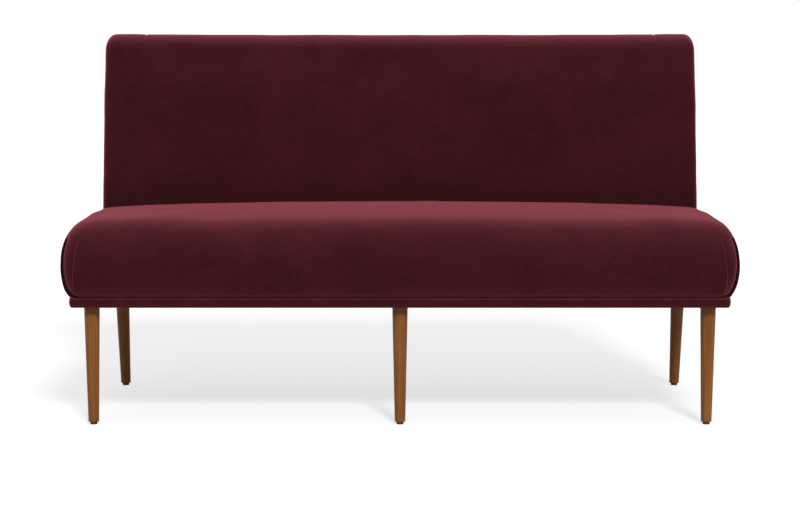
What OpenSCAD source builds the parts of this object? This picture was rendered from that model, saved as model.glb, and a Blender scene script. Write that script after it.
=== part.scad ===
// Upholstered dining bench: a velvet seat and a raked velvet back on a boarded base with six turned
// wooden legs. Millimetres, +Z up. The origin is on the floor under the middle of the bench, and the
// sitter faces -Y. The modules draw with Y = 0 at the front face of the base band, and bench()
// moves everything to the origin.

/* [Base] */
// Width over the base band
base_w = 1530; // [1200:10:2000]
// Depth over the base band
base_d = 568; // [520:4:640]
// Height of the base band's underside above the floor
base_z = 280.6; // [200:0.2:360]
// Height of the base band
band_h = 25; // [20:0.5:34]
// How far the band's rounded face stands out from the edge of the boards
band_bulge = 5.5; // [3:0.5:8]
// Corner radius of the band, seen from above
band_corner_r = 12; // [9:1:20]
// Width of the outer base boards
board_w = 90; // [84:2:110]
// Width of the three cross boards of the base
cross_board_w = 70; // [50:5:100]
// Width of the fabric turned over the boards, above and below
lap_w = 30; // [20:2:50]

/* [Legs] */
// Distance of a leg's centre from the band's faces
leg_inset = 45; // [42:1:50]
// Leg diameter at the top
leg_top_d = 36.4; // [30:0.2:44]
// Leg diameter at the foot
leg_foot_d = 25; // [20:0.5:30]
// Backward rake of the rear legs, in degrees
leg_rake = 9.5; // [0:0.5:12]
// Diameter of a foot glide
glide_d = 17; // [14:0.5:19]
// Height of a foot glide
glide_h = 6; // [4:0.5:9]

/* [Seat] */
// Width of the seat upholstery at its widest
seat_w = 1570; // [1560:2:1600]
// Depth of the seat, from its front bulge to the back's face at the top of the crown
seat_d = 500; // [480:2:520]
// Height of the seat's crown above the floor
seat_top = 494; // [480:1:520]
// Height of the widest line of the seat above the base band
seat_belly = 71; // [60:1:80]
// How far the seat's front bulges ahead of the base band
seat_lip = 15; // [10:1:20]
// How far the seat is folded in behind the band's face, at the bottom
seat_fold = 5; // [3:0.5:8]
// Inset of the top roll at the ends
seat_roll_x = 62; // [50:1:90]
// Inset of the top roll at the front
seat_roll_y = 105; // [80:1:120]
// Corner radius of the seat, seen from above
seat_corner_r = 32; // [26:1:40]
// Fall of the crown from its middle to the ends
seat_fall = 20; // [10:1:30]
// Fall of the crown towards the front edge
seat_front_fall = 18; // [8:1:24]
// Fall of the crown into the tuck between seat and back
seat_rear_fall = 3.5; // [0:0.5:8]

/* [Back] */
// Width of the back upholstery
back_w = 1515; // [1510:1:1520]
// Thickness of the back, square to its face
back_t = 98; // [94:1:120]
// Height of the back's top above the floor
back_top = 913; // [800:1:1000]
// Rake of the back, in degrees
back_rake = 9.5; // [5:0.5:13]
// Rounding of the back's front edges at the ends
back_edge_r = 14; // [10:1:20]
// Rounding of the back's top front edge
back_top_r = 24; // [18:1:30]
// Corner radius of the back, seen from the front
back_corner_r = 24; // [16:1:30]
// Forward crown of the back's face
back_crown = 6; // [2:0.5:10]
// Height of the padded ears at the back's ends over the rest of its top edge
ear_h = 2.5; // [1:0.5:4]
// Distance of the top tucks from the back's ends
tuck_x = 98; // [70:1:130]

/* [Upholstery] */
// Thickness of the velvet with its fibre lining
cover_t = 4; // [3.5:0.5:5]
// Thickness of plain velvet, where it is turned over an edge
fabric_t = 1.2; // [0.8:0.1:1.6]
// Depth of the sewn pleats and tucks
pleat_depth = 2.6; // [1:0.2:2.8]
// Clearance round a soft piece
soft_gap = 0.3; // [0.2:0.05:0.5]
// Thickness of the hessian under the foam
hessian_t = 1; // [0.6:0.1:1.5]
// Thickness of the black dust cover
dust_t = 0.6; // [0.4:0.1:1]
// Thickness of the padding over the back's top rail
top_pad = 8; // [5:1:14]
// Height of the tuck between seat and back above the seat's foam base
tuck_rise = 8; // [4:1:20]

/* [Frame] */
// Thickness of the rails
rail_t = 25; // [22:1:28]
// Height of the seat rails
rail_h = 75; // [68:1:80]
// Padding between the seat's fold and the rails
rail_pad = 12; // [9:1:14]
// Height of the seat's two cross rails
spreader_h = 42; // [36:2:50]
// Drop of the cross rails below the webbing
spreader_drop = 18; // [10:1:24]
// Width of the back's end stiles, seen from the front
stile_w = 30; // [28:1:40]
// Depth of the back's end stiles, square to the back
stile_d = 60; // [54:1:62]
// Height of the back's rails
back_rail_h = 60; // [56:2:70]
// Width of the back's middle stile
mid_stile_w = 60; // [50:5:80]
// Thickness of the hardboard that closes the back
backing_t = 3; // [2:0.5:4]
// Leg length of the corner blocks
block_l = 60; // [50:2:70]
// Height of the corner blocks
block_h = 50; // [40:2:60]

/* [Webbing] */
// Width of the webbing straps
strap_w = 60; // [50:5:70]
// Thickness of the webbing
strap_t = 2; // [1.5:0.1:2.5]
// Straps that run from front to back under the seat
seat_strap_n = 11; // [8:1:12]
// Straps that run from end to end under the seat
long_strap_n = 3; // [2:1:4]
// Upright straps in the back
back_strap_n = 9; // [6:1:11]
// Length of a strap's folded end
strap_fold = 22; // [16:1:24]

/* [Fasteners] */
// Diameter of the hanger bolts and the back bolts
bolt_d = 8; // [6:1:10]
// Depth of a hanger bolt in its leg
hanger_depth = 38; // [30:1:45]
// Side of a leg plate
plate_w = 68; // [60:1:72]
// Thickness of a leg plate
plate_t = 3; // [2:0.5:4]
// Diameter of a leg plate's threaded boss
boss_d = 14; // [13:0.5:16]
// Height of a leg plate's threaded boss
boss_h = 12; // [8:1:14]
// Shank diameter of the wood screws
screw_d = 4.5; // [3.5:0.5:5]
// Length of the leg plates' screws
plate_screw_l = 18; // [14:1:20]
// Length of the screws that hold the base to the frames
base_screw_l = 55; // [45:5:65]
// Dowel diameter
dowel_d = 8; // [6:1:10]
// Dowel length
dowel_l = 36; // [30:2:40]
// Clearance of a bolt, screw or dowel in its hole, on the radius
hole_gap = 0.1; // [0.05:0.05:0.2]
// Width of a staple's crown
staple_w = 12; // [8:1:14]
// Thickness of the staple wire
staple_wire = 0.8; // [0.6:0.1:1]
// Length of a staple's legs
staple_leg = 14; // [10:1:16]

/* [Hidden] */
$fn = 48;

velvet = "#5b1a24";
oak = "#86552f";
timber = "#cda877";
steel = "#b4b8bb";
jute = "#a88d63";
foam_colour = "#e9dfb8";
black_cloth = "#2a2a2a";
felt = "#3a2f2a";

far = 3000;                                    // larger than the bench, for half spaces

// heights
board_z0 = base_z + fabric_t;                  // underside of the boards
board_z1 = base_z + band_h - fabric_t;         // top of the boards
board_t = board_z1 - board_z0;
deck_z = base_z + band_h;                      // top of the band, where the frames stand
rail_z = deck_z + rail_h;                      // top of the seat rails
web_stack = 2 * strap_t + staple_wire;         // folded strap end with its staple
foam_z = rail_z + web_stack + hessian_t;       // underside of the seat foam

// plan of the base, from its middle in X and from its front face in Y
board_x = base_w / 2 - band_bulge;             // outer edge of the end boards
board_y0 = band_bulge;
board_y1 = base_d - band_bulge;
leg_x = base_w / 2 - leg_inset;
leg_y = [leg_inset, base_d - leg_inset];
cross_board_x = [-leg_x / 2, 0, leg_x / 2];
frame_x = base_w / 2 - seat_fold - rail_pad;   // outer face of the seat and back frames
rail_y = seat_fold + rail_pad;                 // front face of the front rail

// the back's own frame: y runs square to its face, z up along it, from the deck
back_y = seat_d - seat_lip - (seat_top - deck_z) * tan(back_rake);
back_len = (back_top - deck_z - back_top_r * (1 - sin(back_rake))) / cos(back_rake) + back_top_r;
cover_rear = back_t - fabric_t;                // rear face of the turned fabric
backing_y = cover_rear - fabric_t - backing_t; // front face of the hardboard
frame_y = backing_y - stile_d;                 // front face of the back frame
seat_rear_y = frame_y - rail_t;                // front face of the seat's rear rail
frame_top = back_len - ear_h - cover_t - soft_gap - top_pad;
tuck_z = foam_z + tuck_rise;                   // height at which the back's foam begins
back_foam_y = frame_y - web_stack;             // rear face of the back's foam

// the middle of the whole bench in Y: the seat's front bulge and the back's upper rear edge
outside_in = 5;                                // how far the outside back stops short of the edges
rear_draw = 3;                                 // how far the cover is drawn in at its rear edges
rear_edge = 6;
rear_most = back_y + max(back_t * cos(back_rake) + (back_len - ear_h - outside_in) * sin(back_rake),
  cover_rear * cos(back_rake) + (back_len - rear_draw) * sin(back_rake));
y_mid = (rear_most - seat_lip) / 2;

module bench(c) translate([0, -y_mid, 0]) color(c) children();
module below(z) translate([-far, -far, z - far]) cube([2 * far, 2 * far, far]);
module above(z) translate([-far, -far, z]) cube([2 * far, 2 * far, far]);
module raked() translate([0, back_y, deck_z]) rotate([-back_rake, 0, 0]) children();
module box(lo, hi) translate(lo) cube(hi - lo);

// Y of the back's front plane at a height above the floor
function back_face(z) = back_y + (z - deck_z) * tan(back_rake);
// distance along the back, at a depth y in it, of a height above the floor
function along_back(z, y) = (z - deck_z + y * sin(back_rake)) / cos(back_rake);

// Legs and feet

leg_spots = [for (x = [-leg_x, 0, leg_x], k = [0, 1]) [x, leg_y[k], k * leg_rake]];
module at_leg(s) translate([s[0], s[1], board_z0]) rotate([s[2], 0, 0]) children();
function foot_y(s) = s[1] + (board_z0 - glide_h) * tan(s[2]);

foot_edge = 1.5;
module leg(s) {
  len = (board_z0 - glide_h) / cos(s[2]);
  over = leg_top_d * tan(s[2]);                // spare length that the level cuts take off
  slope = (leg_top_d - leg_foot_d) / 2 / len;
  difference() {
    at_leg(s) rotate_extrude() polygon([
      [0, -len - over], [leg_foot_d / 2 - foot_edge, -len - over], [leg_foot_d / 2, -len + foot_edge],
      [leg_top_d / 2 + slope * over, over], [0, over]]);
    above(board_z0);
    below(glide_h);
    at_leg(s) translate([0, 0, -hanger_depth - 1]) cylinder(h = hanger_depth + 10, d = bolt_d + 2 * hole_gap);
    translate([s[0], foot_y(s), glide_h - 1]) cylinder(h = nail_l + 1.5, d = nail_d + 2 * hole_gap);
  }
}
module front_left_leg() bench(oak) leg(leg_spots[0]);
module front_middle_leg() bench(oak) leg(leg_spots[2]);
module front_right_leg() bench(oak) leg(leg_spots[4]);
module rear_left_leg() bench(oak) leg(leg_spots[1]);
module rear_middle_leg() bench(oak) leg(leg_spots[3]);
module rear_right_leg() bench(oak) leg(leg_spots[5]);

nail_d = 2.4;
nail_l = 16;
nail_head_d = 7;
nail_head_t = 1.2;
nail_seat = 2.5;                               // height of the nail's head above the floor
glide_edge = 1.5;
module foot_glides() bench(felt) for (s = leg_spots) translate([s[0], foot_y(s), 0]) difference() {
  rotate_extrude() polygon([[0, 0], [glide_d / 2 - glide_edge, 0], [glide_d / 2, glide_edge],
    [glide_d / 2, glide_h], [0, glide_h]]);
  translate([0, 0, -1]) cylinder(h = nail_seat + nail_head_t + 1, d = nail_head_d + 2 * hole_gap);
  cylinder(h = glide_h + 1, d = nail_d + 2 * hole_gap);
}
module glide_nails() bench(steel) for (s = leg_spots) translate([s[0], foot_y(s), nail_seat]) {
  cylinder(h = nail_head_t, d = nail_head_d);
  cylinder(h = glide_h - nail_seat + nail_l, d = nail_d);
}

bolt_point = 1.5;
module hanger_bolt() translate([0, 0, -hanger_depth]) {
  cylinder(h = bolt_point, d1 = bolt_d - 2 * bolt_point, d2 = bolt_d);
  translate([0, 0, bolt_point]) cylinder(h = hanger_depth + plate_t + boss_h - bolt_point, d = bolt_d);
}
module hanger_bolts() bench(steel) for (s = leg_spots) at_leg(s) hanger_bolt();

// a plate let into the underside of the board, with a boss that takes the bolt at the leg's angle
screw_edge = 9;                                // distance of a plate's screws from its edges
screw_spot = plate_w / 2 - screw_edge;
function plate_screw_spots(s) =
  [for (i = [-1, 1], j = [-1, 1]) [s[0] + i * screw_spot, s[1] + j * screw_spot]];
module leg_plates() bench(steel) for (s = leg_spots) difference() {
  union() {
    translate([s[0] - plate_w / 2, s[1] - plate_w / 2, board_z0]) cube([plate_w, plate_w, plate_t]);
    difference() {
      at_leg(s) cylinder(h = plate_t + boss_h, d = boss_d);
      below(board_z0 + plate_t / 2);
    }
  }
  at_leg(s) translate([0, 0, -2]) cylinder(h = plate_t + boss_h + 4, d = bolt_d + 2 * hole_gap);
  for (p = plate_screw_spots(s)) translate([p[0], p[1], board_z0]) screw(plate_screw_l, hole_gap);
}
// countersunk screw pointing up, its head flush at z = 0
head_h = 2.4;
screw_head_d = 1.9 * screw_d;
module screw(l, gap = 0) {
  cylinder(h = head_h + gap, d1 = screw_head_d + 2 * gap, d2 = screw_d + 2 * gap);
  cylinder(h = l + gap, d = screw_d + 2 * gap);
}
module leg_plate_screws() bench(steel)
  for (s = leg_spots, p = plate_screw_spots(s)) translate([p[0], p[1], board_z0]) screw(plate_screw_l);

// Base boards, dowelled together, with the padded band round them

module plate_pockets() for (s = leg_spots) {
  translate([s[0] - plate_w / 2 - hole_gap, s[1] - plate_w / 2 - hole_gap, board_z0 - 1])
    cube([plate_w + 2 * hole_gap, plate_w + 2 * hole_gap, plate_t + 1]);
  at_leg(s) cylinder(h = 2 * board_t, d = boss_d + 2);
  for (p = plate_screw_spots(s)) translate([p[0], p[1], board_z0]) screw(plate_screw_l, hole_gap);
}

// screws through the boards: six up into the front rail, six into the back's bottom rail, six into the ends
long_screw_at = [0.21, 0.4, 0.83];             // places between the bench's middle and its end legs
side_screw_at = [0.28, 0.5, 0.7];              // places between the base's front and rear
bottom_rail_y = back_y + (frame_y + rail_t / 2) / cos(back_rake) + 1;
base_screw_spots = concat(
  [for (x = long_screw_at, i = [-1, 1], y = [rail_y + rail_t / 2, bottom_rail_y]) [i * x * leg_x, y]],
  [for (y = side_screw_at, i = [-1, 1]) [i * (frame_x - rail_t / 2), y * base_d]]);
module base_screw_set(gap = 0)
  for (p = base_screw_spots) translate([p[0], p[1], board_z0]) screw(base_screw_l, gap);
module base_screws() bench(steel) base_screw_set();

inner_y0 = board_y0 + board_w;
board_reach = 14;                              // how far the rear board reaches ahead of the back's frame
inner_y1 = min(board_y1 - board_w, back_y + frame_y / cos(back_rake) - board_reach);
board_mid_z = (board_z0 + board_z1) / 2;
end_board_x = board_x - board_w / 2;
base_dowel_spots = concat(
  [for (x = [-end_board_x, end_board_x], j = [-1, 1], y = [inner_y0, inner_y1]) [x + j * board_w / 4, y]],
  [for (x = cross_board_x, j = [-1, 1], y = [inner_y0, inner_y1]) [x + j * cross_board_w / 4, y]]);
module dowel(l, gap = 0) translate([0, 0, -l / 2 - gap]) cylinder(h = l + 2 * gap, d = dowel_d + 2 * gap);
module base_dowel_set(gap = 0)
  for (p = base_dowel_spots) translate([p[0], p[1], board_mid_z]) rotate([90, 0, 0]) dowel(dowel_l, gap);
module base_dowels() bench(timber) base_dowel_set();

// rectangle with round corners, from exact circles and squares
module round_rect(lo, hi, r) {
  translate(lo + [r, 0]) square([hi[0] - lo[0] - 2 * r, hi[1] - lo[1]]);
  translate(lo + [0, r]) square([hi[0] - lo[0], hi[1] - lo[1] - 2 * r]);
  for (x = [lo[0] + r, hi[0] - r], y = [lo[1] + r, hi[1] - r]) translate([x, y]) circle(r);
}
edge_corner_r = band_corner_r - band_bulge;
module board_outline(z0, z1) translate([0, 0, z0]) linear_extrude(z1 - z0)
  round_rect([-board_x, board_y0], [board_x, board_y1], edge_corner_r);

module base_board(lo, hi) difference() {
  intersection() {
    box([lo[0], lo[1], board_z0], [hi[0], hi[1], board_z1]);
    board_outline(board_z0, board_z1);
  }
  plate_pockets();
  base_screw_set(hole_gap);
  base_dowel_set(hole_gap);
  dust_staple_set(hole_gap);
}
module base_front_board() bench(timber) base_board([-board_x, board_y0], [board_x, inner_y0]);
module base_rear_board() bench(timber) base_board([-board_x, inner_y1], [board_x, board_y1]);
module base_left_board() bench(timber) base_board([-board_x, inner_y0], [-board_x + board_w, inner_y1]);
module base_right_board() bench(timber) base_board([board_x - board_w, inner_y0], [board_x, inner_y1]);
module cross_board(x)
  base_board([x - cross_board_w / 2, inner_y0], [x + cross_board_w / 2, inner_y1]);
module base_cross_board_left() bench(timber) cross_board(cross_board_x[0]);
module base_cross_board_middle() bench(timber) cross_board(cross_board_x[1]);
module base_cross_board_right() bench(timber) cross_board(cross_board_x[2]);

// the band's rounded section: a circle's segment that stands out from the board's edge at x = 0
band_r = (pow(band_h / 2, 2) + pow(band_bulge, 2)) / 2 / band_bulge;
module segment(r) intersection() {
  translate([band_bulge - band_r, band_h / 2]) circle(r);
  square([band_bulge + 1, band_h]);
}
module band_section() difference() { segment(band_r); segment(band_r - fabric_t); }
module padding_section() segment(band_r - fabric_t - soft_gap / 2);

// carries a section (x out, y up) round the base's plan
module round_band() {
  rx = board_x - edge_corner_r;
  ry0 = board_y0 + edge_corner_r;
  ry1 = board_y1 - edge_corner_r;
  translate([0, 0, base_z]) {
    for (c = [[rx, ry1, 0], [-rx, ry1, 90], [-rx, ry0, 180], [rx, ry0, 270]])
      translate([c[0], c[1], 0]) rotate([0, 0, c[2]])
        rotate_extrude(angle = 90) translate([edge_corner_r, 0]) children();
    for (i = [0, 1]) {
      mirror([i, 0, 0]) translate([board_x, ry1, 0]) rotate([90, 0, 0]) linear_extrude(ry1 - ry0) children();
      translate([i * 2 * rx - rx, i * (board_y1 - board_y0) + board_y0, 0]) rotate([0, 0, i * 180 - 90])
        rotate([90, 0, 0]) translate([0, 0, -2 * rx]) linear_extrude(2 * rx) children();
    }
  }
}
module lap(z0, z1) difference() {
  board_outline(z0, z1);
  box([-board_x + lap_w, board_y0 + lap_w, z0 - 1], [board_x - lap_w, board_y1 - lap_w, z1 + 1]);
}
module base_band_padding() bench(foam_colour) round_band() padding_section();
module base_band_cover() bench(velvet) difference() {
  union() {
    round_band() band_section();
    lap(base_z, board_z0);
    lap(board_z1, deck_z);
  }
  base_screw_set(hole_gap);
  for (s = leg_spots) translate([s[0], s[1], base_z - 1]) cylinder(h = fabric_t + 1, d = dust_hole_d);
  dust_staple_set(hole_gap);
}

dust_edge = 10;                                // bare edge of the turned velvet outside the dust cover
dust_hole_d = leg_top_d + 10;
module dust_cover() bench(black_cloth) difference() {
  box([-board_x + dust_edge, board_y0 + dust_edge, base_z - dust_t],
    [board_x - dust_edge, board_y1 - dust_edge, base_z]);
  for (s = leg_spots) translate([s[0], s[1], base_z - dust_t - 1]) cylinder(h = dust_t + 2, d = dust_hole_d);
  dust_staple_set(hole_gap);
}

// a staple with its crown along X and its legs pointing down from z = 0
module staple(gap = 0, leg = staple_leg) {
  translate([-staple_w / 2, -staple_wire / 2, 0]) cube([staple_w, staple_wire, staple_wire]);
  for (i = [-1, 1]) translate([i * (staple_w - staple_wire) / 2, 0, 0])
    translate([-staple_wire / 2 - gap, -staple_wire / 2 - gap, -leg - gap])
      cube([staple_wire + 2 * gap, staple_wire + 2 * gap, leg + 2 * gap]);
}
staple_row = dust_edge + 7;
dust_staple_n = 10;
side_staple_n = 4;
dust_leg = staple_leg - 4;
module dust_staple_set(gap = 0) translate([0, 0, base_z - dust_t]) {
  sx = (board_x - staple_row) * 2 / dust_staple_n;
  sy = (inner_y1 - inner_y0) / side_staple_n;
  for (i = [0 : dust_staple_n - 1], y = [board_y0 + staple_row, board_y1 - staple_row])
    translate([(i + 0.5) * sx - board_x + staple_row, y, 0]) mirror([0, 0, 1]) staple(gap, dust_leg);
  for (i = [0 : side_staple_n - 1], x = [-board_x + staple_row, board_x - staple_row])
    translate([x, inner_y0 + (i + 0.5) * sy, 0]) rotate([0, 0, 90]) mirror([0, 0, 1]) staple(gap, dust_leg);
}
module dust_cover_staples() bench(steel) dust_staple_set();

// Seat frame

spreader_x = leg_x / 3;
spreader_z1 = rail_z - spreader_drop;
spreader_z0 = spreader_z1 - spreader_h;
side_rail_x = frame_x - rail_t / 2;
rear_joint_y = back_face((deck_z + rail_z) / 2) + seat_rear_y / cos(back_rake);
dowel_at = [0.28, 0.72];                       // places of the two dowels in a rail's height

module seat_dowel_set(gap = 0) {
  for (x = [-side_rail_x, side_rail_x], z = dowel_at, y = [rail_y + rail_t, rear_joint_y])
    translate([x, y, deck_z + z * rail_h]) rotate([90, 0, 0]) dowel(dowel_l, gap);
  for (x = [-spreader_x, spreader_x], z = dowel_at, y = [rail_y + rail_t, rear_joint_y])
    translate([x, y, spreader_z0 + z * spreader_h]) rotate([90, 0, 0]) dowel(dowel_l, gap);
}
module seat_dowels() bench(timber) seat_dowel_set();

module seat_holes() {
  seat_dowel_set(hole_gap);
  base_screw_set(hole_gap);
  block_screw_set(hole_gap);
  at_back_bolts() back_bolt(hole_gap);
  strap_staple_set(hole_gap);
}
module seat_front_rail() bench(timber) difference() {
  box([-frame_x, rail_y, deck_z], [frame_x, rail_y + rail_t, rail_z]);
  seat_holes();
}
module seat_rear_rail() bench(timber) difference() {
  raked() box([-frame_x, seat_rear_y, -rail_t], [frame_x, frame_y, 2 * rail_h]);
  below(deck_z);
  above(rail_z);
  seat_holes();
}
// a rail that runs from the front rail to the raked rear rail
module long_rail(x, z0, z1) difference() {
  box([x - rail_t / 2, rail_y + rail_t, z0], [x + rail_t / 2, base_d, z1]);
  raked() box([-far, seat_rear_y, -far], [far, far, far]);
  seat_holes();
}
module seat_left_rail() bench(timber) long_rail(-side_rail_x, deck_z, rail_z);
module seat_right_rail() bench(timber) long_rail(side_rail_x, deck_z, rail_z);
module seat_cross_rail_left() bench(timber) long_rail(-spreader_x, spreader_z0, spreader_z1);
module seat_cross_rail_right() bench(timber) long_rail(spreader_x, spreader_z0, spreader_z1);

// corner blocks: x and y run from the corner along the two rails
block_z = deck_z + (rail_h - block_h) / 2;
block_nose = block_l / 4;                      // the block's two short ends
module corner_block() linear_extrude(block_h)
  polygon([[0, 0], [block_l, 0], [block_l, block_nose], [block_nose, block_l], [0, block_l]]);
module at_end(x) translate([x * (frame_x - rail_t), 0, 0]) mirror([x > 0 ? 1 : 0, 0, 0]) children();
module front_corner(x) translate([0, rail_y + rail_t, block_z]) at_end(x) children();
module rear_corner(x) raked() translate([0, seat_rear_y, block_z - deck_z])
  mirror([0, 1, 0]) at_end(x) children();
module front_block(x) difference() {
  front_corner(x) corner_block();
  block_screw_set(hole_gap);
}
module rear_block(x) difference() {
  rear_corner(x) corner_block();
  block_screw_set(hole_gap);
}
module corner_block_front_left() bench(timber) front_block(-1);
module corner_block_front_right() bench(timber) front_block(1);
module corner_block_rear_left() bench(timber) rear_block(-1);
module corner_block_rear_right() bench(timber) rear_block(1);

// one screw from each block into the side rail, and one into the front or the rear rail
block_screw_at = 42;                           // distance of a screw from the corner
block_screw_in = 18;                           // depth of a screw in the rail
head_sink = 10;                                // depth of the counterbore below the block's slanting face
pan_head_h = 2.5;
// how far the block's slanting face lies from a rail at the screw
block_face = block_l + block_nose - block_screw_at;
// screw whose point is at z = 0 and whose pan head stands above z = l
module pan_screw(l, gap) {
  translate([0, 0, -gap]) cylinder(h = l + gap, d = screw_d + 2 * gap);
  translate([0, 0, l]) cylinder(h = gap > 0 ? block_l : pan_head_h, d = 2 * screw_d + 2 * gap);
}
module block_screws(gap) {
  l = block_screw_in + block_face - head_sink;
  translate([-block_screw_in, block_screw_at, block_h * dowel_at[0]]) rotate([0, 90, 0]) pan_screw(l, gap);
  translate([block_screw_at, -block_screw_in, block_h * dowel_at[1]]) rotate([-90, 0, 0]) pan_screw(l, gap);
}
module block_screw_set(gap = 0) for (x = [-1, 1]) {
  front_corner(x) block_screws(gap);
  rear_corner(x) block_screws(gap);
}
module corner_block_screws() bench(steel) block_screw_set();

// Seat webbing and hessian

strap_reach_y = back_face(rail_z) + (frame_y - 3) / cos(back_rake);  // rear end of the short straps
short_y0 = rail_y + 2;
short_pitch = 2 * (frame_x - rail_t - strap_w) / seat_strap_n;
short_x = [for (i = [0 : seat_strap_n - 1]) (i - (seat_strap_n - 1) / 2) * short_pitch];
long_pitch = (strap_reach_y - short_y0) / (long_strap_n + 1);
long_y = [for (i = [1 : long_strap_n]) short_y0 + i * long_pitch];
long_x1 = frame_x - 2;

module strap_staple_set(gap = 0) translate([0, 0, rail_z + 2 * strap_t]) {
  for (x = short_x, j = [-1, 1], y = [short_y0 + strap_fold / 2, strap_reach_y - strap_fold / 2])
    translate([x + j * strap_w / 4, y, 0]) staple(gap);
  for (y = long_y, j = [-1, 1], x = [-long_x1 + strap_fold / 2, long_x1 - strap_fold / 2])
    translate([x, y + j * strap_w / 4, 0]) rotate([0, 0, 90]) staple(gap);
}
module webbing_staples() bench(steel) {
  strap_staple_set();
  back_staple_set();
}
module seat_straps() bench(jute) difference() {
  for (x = short_x) {
    box([x - strap_w / 2, short_y0, rail_z], [x + strap_w / 2, strap_reach_y, rail_z + strap_t]);
    for (y = [short_y0, strap_reach_y - strap_fold])
      box([x - strap_w / 2, y, rail_z], [x + strap_w / 2, y + strap_fold, rail_z + 2 * strap_t]);
  }
  strap_staple_set(hole_gap);
}
module seat_long_straps() bench(jute) difference() {
  for (y = long_y) {
    box([-long_x1, y - strap_w / 2, rail_z + strap_t], [long_x1, y + strap_w / 2, rail_z + 2 * strap_t]);
    for (x = [-long_x1, long_x1 - strap_fold])
      box([x, y - strap_w / 2, rail_z], [x + strap_fold, y + strap_w / 2, rail_z + 2 * strap_t]);
  }
  strap_staple_set(hole_gap);
}
module seat_hessian() bench(jute) box([-frame_x + 1, rail_y + 1, rail_z + web_stack],
  [frame_x - 1, strap_reach_y, foam_z]);

// Seat upholstery: one form, drawn at an inset from its outer skin

belly_z = deck_z + seat_belly;
seat_top_n = 2.3;                              // roundness of the roll: 2 is an ellipse, more is squarer
seat_side_n = 3.2;
seat_front_n = 3;
seat_low_n = 2.5;
seat_low_m = 3;
seat_edge_power = 10;
seat_flat_share = 0.7;                         // share of the fall that is spread over the whole width

seat_tuck_run = 80;                            // distance from the back over which the top falls to the tuck

// fall of the seat's top below its crown, at a place on the plan
function seat_dip(x, y) = let (u = min(1, abs(x) / (seat_w / 2)),
    v = max(0, (seat_roll_y - y) / (seat_roll_y + seat_lip)),
    w = max(0, min(1, (y - seat_d + seat_lip + seat_tuck_run) / seat_tuck_run)))
  seat_fall * (seat_flat_share * u * u + (1 - seat_flat_share) * pow(u, seat_edge_power))
  + seat_front_fall * v * v + seat_rear_fall * w * w;

// level t of the form: 0 at the fold, 1 at the widest line, 2 at the top of the roll.
// Gives half the width, the front's Y, the height before the fall, and how much of the fall counts.
function seat_level(t, e) = let (a = t < 1 ? 90 * t : 90 * (t - 1))
  t < 1
  ? let (out = pow(sin(a), 2 / seat_low_n))
    [lerp(base_w / 2 - seat_fold, seat_w / 2, out) - e, lerp(seat_fold, -seat_lip, out) + e,
     belly_z - (belly_z - deck_z) * pow(cos(a), 2 / seat_low_m), 0]
  : let (rise = pow(sin(a), 2 / seat_top_n), c = max(cos(a), 0))
    [seat_w / 2 - e - seat_roll_x * (1 - pow(c, 2 / seat_side_n)),
     -seat_lip + e + seat_roll_y * (1 - pow(c, 2 / seat_front_n)),
     belly_z + (seat_top - e - belly_z) * rise, rise];
function lerp(a, b, t) = a + (b - a) * t;

// the front corners' two pleats: their places along the ring, from the start of the corner's arc, at
// the fold, at the widest line and at the top, and the height where they run out
front_pleat = [26, -3, -18];
side_pleat = [36, 26, 15];
pleat_half = 4;
pleat_end = 40;                                // distance of the pleats' ends below the crown
function pleat_at(places, z) = z < belly_z
  ? lerp(places[0], places[1], (z - deck_z) / seat_belly)
  : lerp(places[1], places[2], (z - belly_z) / (seat_top - belly_z));
function pleat_cross(s, d) = [[s - pleat_half, 0], [s, d], [s + pleat_half, 0]];
function pleat_cut(z) = pleat_depth * max(0, min(1, (seat_top - pleat_end - z) / pleat_end + 0.4));

// point of a ring at a distance s past the start of its corner's arc, moved inwards by d
function corner_point(hx, y0, s, d) = let (r = seat_corner_r, a = max(0, min(90, s / r * 180 / PI)),
    straight = min(0, s), past = max(0, s - r * PI / 2))
  [hx - r + straight + (r - d) * sin(a), y0 + r - (r - d) * cos(a) + past];

// half of a ring, from the middle of the front to the middle of the rear, at a level
function seat_half_ring(t, e, pleats) = let (
    s = seat_level(t, e), hx = s[0], y0 = s[1], z = s[2], d = pleat_cut(z),
    s0 = pleat_at(front_pleat, z), s1 = pleat_at(side_pleat, z), arc_end = seat_corner_r * PI / 2,
    rr = seat_rear_r)
  concat(
    [for (q = [0, 0.35, 0.7, 0.9]) [q * (hx - seat_corner_r), y0]],
    pleats
      ? [for (k = concat(pleat_cross(s0, d), [[(s0 + s1) / 2, 0]], pleat_cross(s1, d), [[arc_end, 0]]))
          corner_point(hx, y0, k[0], k[1])]
      : [for (k = [0 : 0.25 : 1]) corner_point(hx, y0, k * arc_end, 0)],
    [for (q = [0.15, 0.45, 0.75]) [hx, lerp(y0 + seat_corner_r, seat_rear(hx, s, e) - rr, q)]],
    [for (a = [0 : 30 : 90]) let (x = hx - rr + rr * cos(a)) [x, seat_rear(x, s, e) - rr + rr * sin(a)]],
    [for (q = [0.66, 0.33]) [q * hx, seat_rear(q * hx, s, e)]]);
seat_rear_r = 25;
// Y of the seat's rear at a place along it, where the level s has its height less the fall
function seat_rear(x, s, e) = back_face(s[2] - s[3] * seat_dip(x, base_d)) - soft_gap - e;

// the whole ring with its heights: the right half, the rear's middle, then the left half back
function seat_ring(t, e, pleats) = let (h = seat_half_ring(t, e, pleats), s = seat_level(t, e), n = len(h),
    all = concat(h, [[0, seat_rear(0, s, e)]], [for (i = [n - 1 : -1 : 1]) [-h[i][0], h[i][1]]]))
  [for (p = all) [p[0], p[1], s[2] - s[3] * seat_dip(p[0], p[1])]];

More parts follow.
